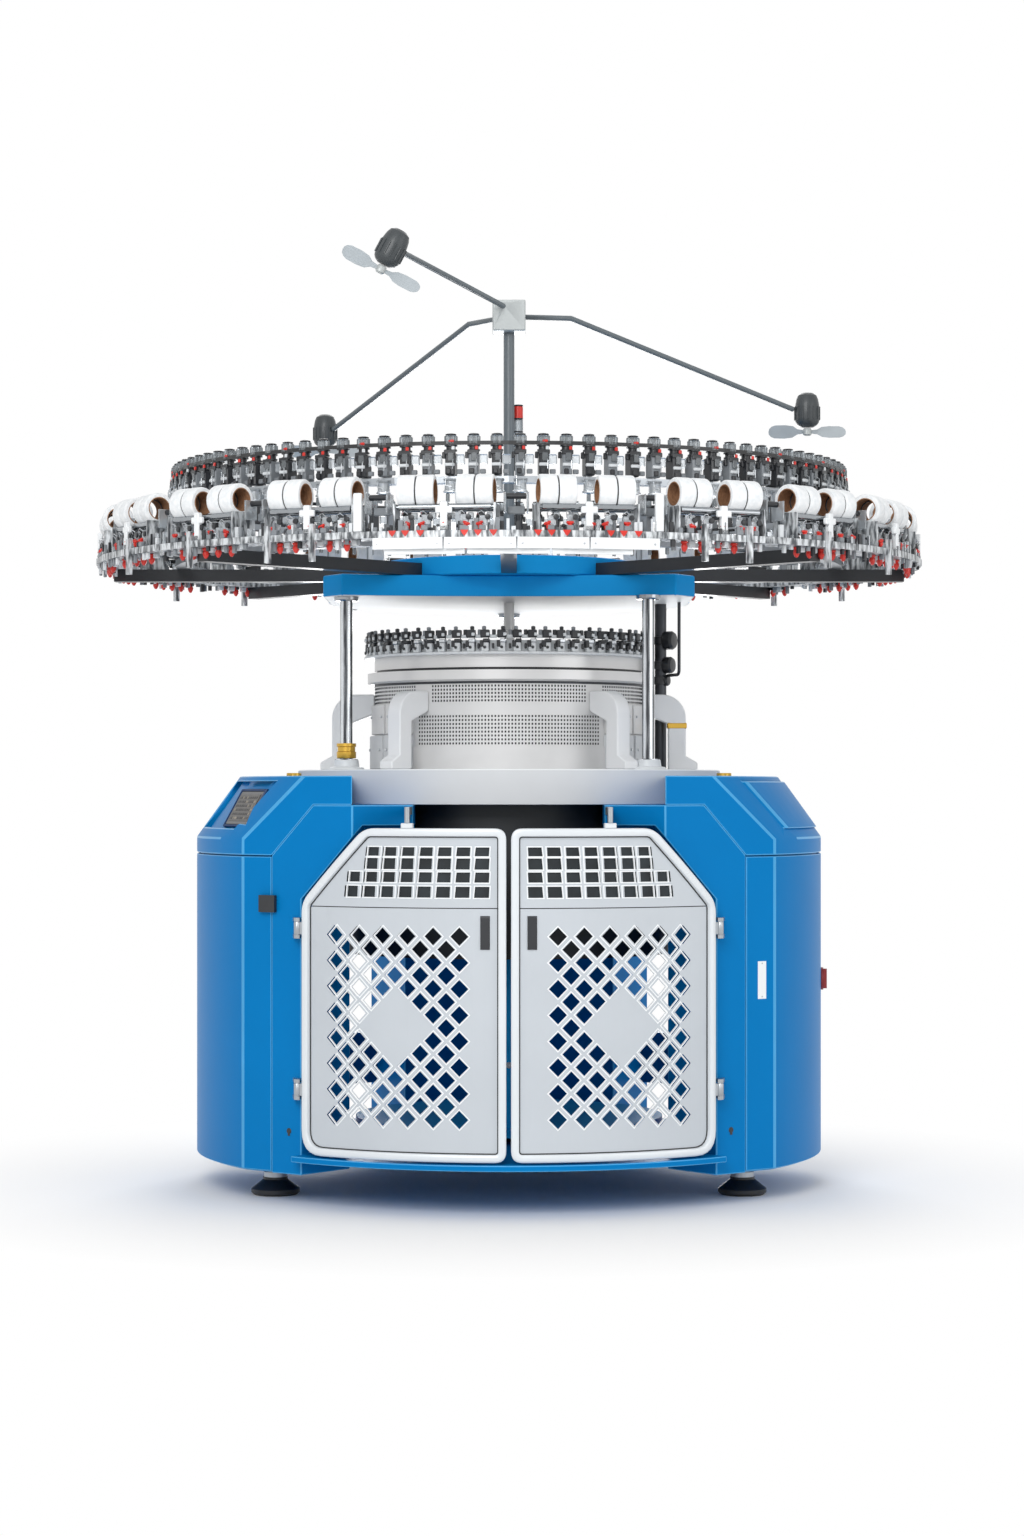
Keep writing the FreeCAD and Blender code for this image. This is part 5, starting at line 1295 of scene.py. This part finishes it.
# ------------------------------------------------------------------ operating panel
def display():
    """A dark bezel round a dim screen with plain fields and bars, framed by dark blue blocks
    painted as the shade of the recess it sits in.
    """
    mesh = frame["nodes"]["display_panel"].data
    points = [corner.co for corner in mesh.vertices]
    face = max(mesh.polygons, key=lambda item: item.area * (item.normal.z > 0.2))
    normal = face.normal.copy()
    middle = middle_of(points)
    middle += normal * (max(point.dot(normal) for point in points) - middle.dot(normal))
    at = facing(middle, normal)
    spans = [at.inverted() @ point for point in points]
    wide = max(p.x for p in spans) - min(p.x for p in spans)
    tall = max(p.z for p in spans) - min(p.z for p in spans)
    deep = max(p.y for p in spans)
    low = deep / 2 - 0.002
    shape = blocks(
        (wide, deep - 0.002, tall, (0, deep / 2 + 0.001, 0), None, 0.003),
        (wide - 0.030, 0.0016, tall - 0.026, (0, 0.0014, 0), "screen", 0.0006),
        # dark blocks round the bezel: painted shade of the recess
        (0.009, 0.012, tall + 0.014, (-wide / 2 - 0.004, low, 0), "painted_well_shade"),
        (0.021, 0.012, tall + 0.014, (wide / 2 + 0.010, low, 0), "painted_well_shade"),
        (wide, 0.012, 0.008, (0, low, -tall / 2 - 0.0035), "painted_well_shade"),
        (wide, 0.012, 0.008, (0, low, tall / 2 + 0.0035), "painted_well_shade"))
    for row in range(6):
        across = -wide / 2 + 0.020
        level = tall / 2 - 0.026 - row * 0.015
        while across < wide / 2 - 0.034:
            run = random.choice((0.008, 0.012, 0.020))
            finish = random.choice(("screen_light", "screen_dark", "screen_dark"))
            shape.join(box(run, 0.0012, 0.008, (across + run / 2, 0.0004, level), finish,
                           0.0004))
            across += run + 0.006
    piece("operating_screen", Shape().join(shape, at), "bezel",
          replaces=["display_panel"])


# ------------------------------------------------------------------ small fittings
def post_fittings(shape):
    """Flanges on the bed, collars under the top plate and one post's brass nut."""
    bed = BED_TOP
    foot = lathe([(0.0205, bed + 0.034), (0.036, bed + 0.034), (0.040, bed + 0.030),
                  (0.043, bed + 0.010), (0.056, bed + 0.007), (0.060, bed + 0.0005),
                  (0.0205, bed + 0.0005)], 32, closed=True)
    foot.join(lathe([(0.0205, 1.950), (0.040, 1.950), (0.040, 1.940), (0.036, 1.936),
                     (0.0205, 1.936)], 32, mark="chrome", closed=True))
    nut = lathe([(0.0205, bed + 0.036), (0.031, bed + 0.037), (0.032, bed + 0.040),
                 (0.032, bed + 0.058), (0.029, bed + 0.060), (0.029, bed + 0.074),
                 (0.032, bed + 0.076), (0.032, bed + 0.086), (0.0205, bed + 0.086)], 24,
                mark="brass", closed=True)
    for name in ("post_left", "post_right", "post_rear"):
        low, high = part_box(name)
        at = shift(*((low + high) / 2).xy, 0)
        shape.join(foot, at)
        if name == "post_left":
            shape.join(nut, at)


def fittings():
    """Post fittings, the drive column's knobs, a bent rod, an oil piece and cap plugs."""
    shape = Shape()
    post_fittings(shape)
    low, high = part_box("drive_column")
    column = (low + high) / 2
    knob = lathe([(0.010, 0.0), (0.013, -0.012), (0.028, -0.016), (0.032, -0.024),
                  (0.032, -0.044), (0.026, -0.052), (0.006, -0.054)], 12, "Y", mark=DARK)
    collar = lathe(mirrored([(0.0203, 0), (0.027, 0.001)], 0.014), 18, mark=DARK, closed=True)
    for level, scale in ((1.826, 1.0), (1.742, 0.9), (1.690, 0.6)):
        at = shift(column.x, column.y, level)
        shape.join(knob, at @ spin(62) @ Matrix.Scale(scale, 4))
        shape.join(collar, at)
    bent = rounded_path([(0.575, -0.060, 1.951), (0.575, -0.060, 1.706),
                         (0.541, 0.030, 1.706)], 0.018)
    shape.join(tube(bent, 0.0055, 10, "dark_steel"))
    # brass oil piece on the right side bracket, and plugs on the leg caps
    shape.join(box(0.060, 0.066, 0.020, mark="brass", edge=0.003), place(0.570, 90.0, 1.534))
    plug = lathe([(0.023, 0), (0.024, 0.001), (0.024, 0.009), (0.023, 0.010)], 20,
                 mark="brass")
    plug_y = -0.50
    for x in PLUG_COLUMNS:
        across = (x - PHOTO[0] / 2) / FOCAL_PIXELS * (plug_y - CAMERA_AT.y)
        shape.join(plug, shift(across + CAMERA_AT.x, plug_y, CAP_TOP))
    piece("column_fittings", shape, PALE)


def keyholes():
    """Small locks low on both legs and a bare plate on the right one."""
    shape = Shape()
    lock = lathe([(0.0085, -0.0015), (0.0095, -0.0005), (0.0095, 0.001)], 20, "Y")
    lock.join(box(0.009, 0.002, 0.022, (0, -0.0012, -0.004), "black", 0.001))
    for x, y, side in LOCK_SPOTS:
        shape.join(lock, facing(*landed(x, y, "leg_" + side, "cabinet_door_" + side)))
    piece("leg_locks", shape, DARK)
    plate = box(0.034, 0.0012, 0.120, (0, -0.0002, 0), edge=0.0005)
    for side in (-1, 1):
        plate.join(lathe([(0.0028, -0.0012), (0.0028, -0.0008), (0.0015, -0.0006)], 10, "Y",
                         (0, 0, side * 0.053), STEEL))
    at = facing(*landed(*PLATE_SPOT, "leg_right", "cabinet_door_right"))
    piece("bare_plate", Shape().join(plate, at), WHITE, "cabinet_right")


# ------------------------------------------------------------------ camera, light, floor
def camera():
    data = bpy.data.cameras.new("view")
    # the frame is upright, so its height is the longer side of the sensor
    data.sensor_fit = "VERTICAL"
    data.sensor_height = SENSOR
    data.lens = LENS
    data.shift_y = SHIFT_UP
    data.clip_end = 60
    item = shown("view", data)
    item.location = CAMERA_AT
    item.rotation_euler = (math.radians(90), 0, 0)
    bpy.context.scene.camera = item


def lamp(name, at, aim, size, power):
    data = bpy.data.lights.new(name, "AREA")
    data.shape = "SQUARE"
    data.size = size
    data.energy = power
    item = shown(name, data)
    item.location = at
    item.rotation_euler = (Vector(aim) - Vector(at)).to_track_quat("-Z", "Y").to_euler()


def studio():
    """A dim even world that looks white, and four soft lamps."""
    world = bpy.data.worlds.new("studio")
    bpy.context.scene.world = world
    world.use_nodes = True
    sky = Nodes(world.node_tree)
    shade = sky.tree.nodes["Background"]
    shade.inputs["Color"].default_value = (1, 1, 1, 1)
    sky.link(sky.span(sky.background_rays(), 0.60, 1.0), shade.inputs["Strength"])
    lamp("key", (-2.2, -9.0, 5.6), (0, 0, 1.3), 4.5, 430)
    lamp("fill", (6.5, -5.0, 3.5), (0, 0, 1.2), 4.5, 90)
    lamp("back", (0, 6.0, 5.0), (0, 0, 1.5), 4.0, 110)
    lamp("low_back", (0.0, 4.5, 1.4), (0, 0, 0.6), 2.0, 90)


def floor():
    """A pale floor that keeps the machine's shadow near it and turns white further off."""
    far = 30.0
    mesh = bpy.data.meshes.new("floor")
    mesh.from_pydata([(-far, -far, 0), (far, -far, 0), (far, far, 0), (-far, far, 0)], [],
                     [(0, 1, 2, 3)])
    pale = Finish("pale_floor")
    length = pale.new("VectorMath")
    length.operation = "LENGTH"
    pale.link(pale.at_object, length.inputs[0])
    fade = pale.span(length.outputs["Value"], 0.0, 1.0, 1.15, 2.2)
    mix = pale.new("MixShader")
    pale.link(pale.maths("MULTIPLY", fade, pale.background_rays()), mix.inputs["Fac"])
    pale.link(pale.shader.outputs["BSDF"], mix.inputs[1])
    pale.link(pale.new("Emission").outputs["Emission"], mix.inputs[2])
    pale.link(mix.outputs["Shader"], pale.tree.nodes["Material Output"].inputs["Surface"])
    mesh.materials.append(pale.done(Base_Color=(0.93, 0.93, 0.93, 1), Roughness=0.9,
                                    Specular_IOR_Level=0.1))
    shown("floor", mesh)


# ------------------------------------------------------------------ the machine
finish_nodes()
soft_nodes()
spools()
rods()
feeders()
outer_rail_dress()
droppers()
rail_clips()
thread_brakes()
front_panels()
drum_studs()
drum_covers()
carriers()
door_trim()
fans()
signal_lamp()
display()
fittings()
keyholes()
camera()
studio()
floor()
bpy.context.scene.view_settings.view_transform = "Standard"
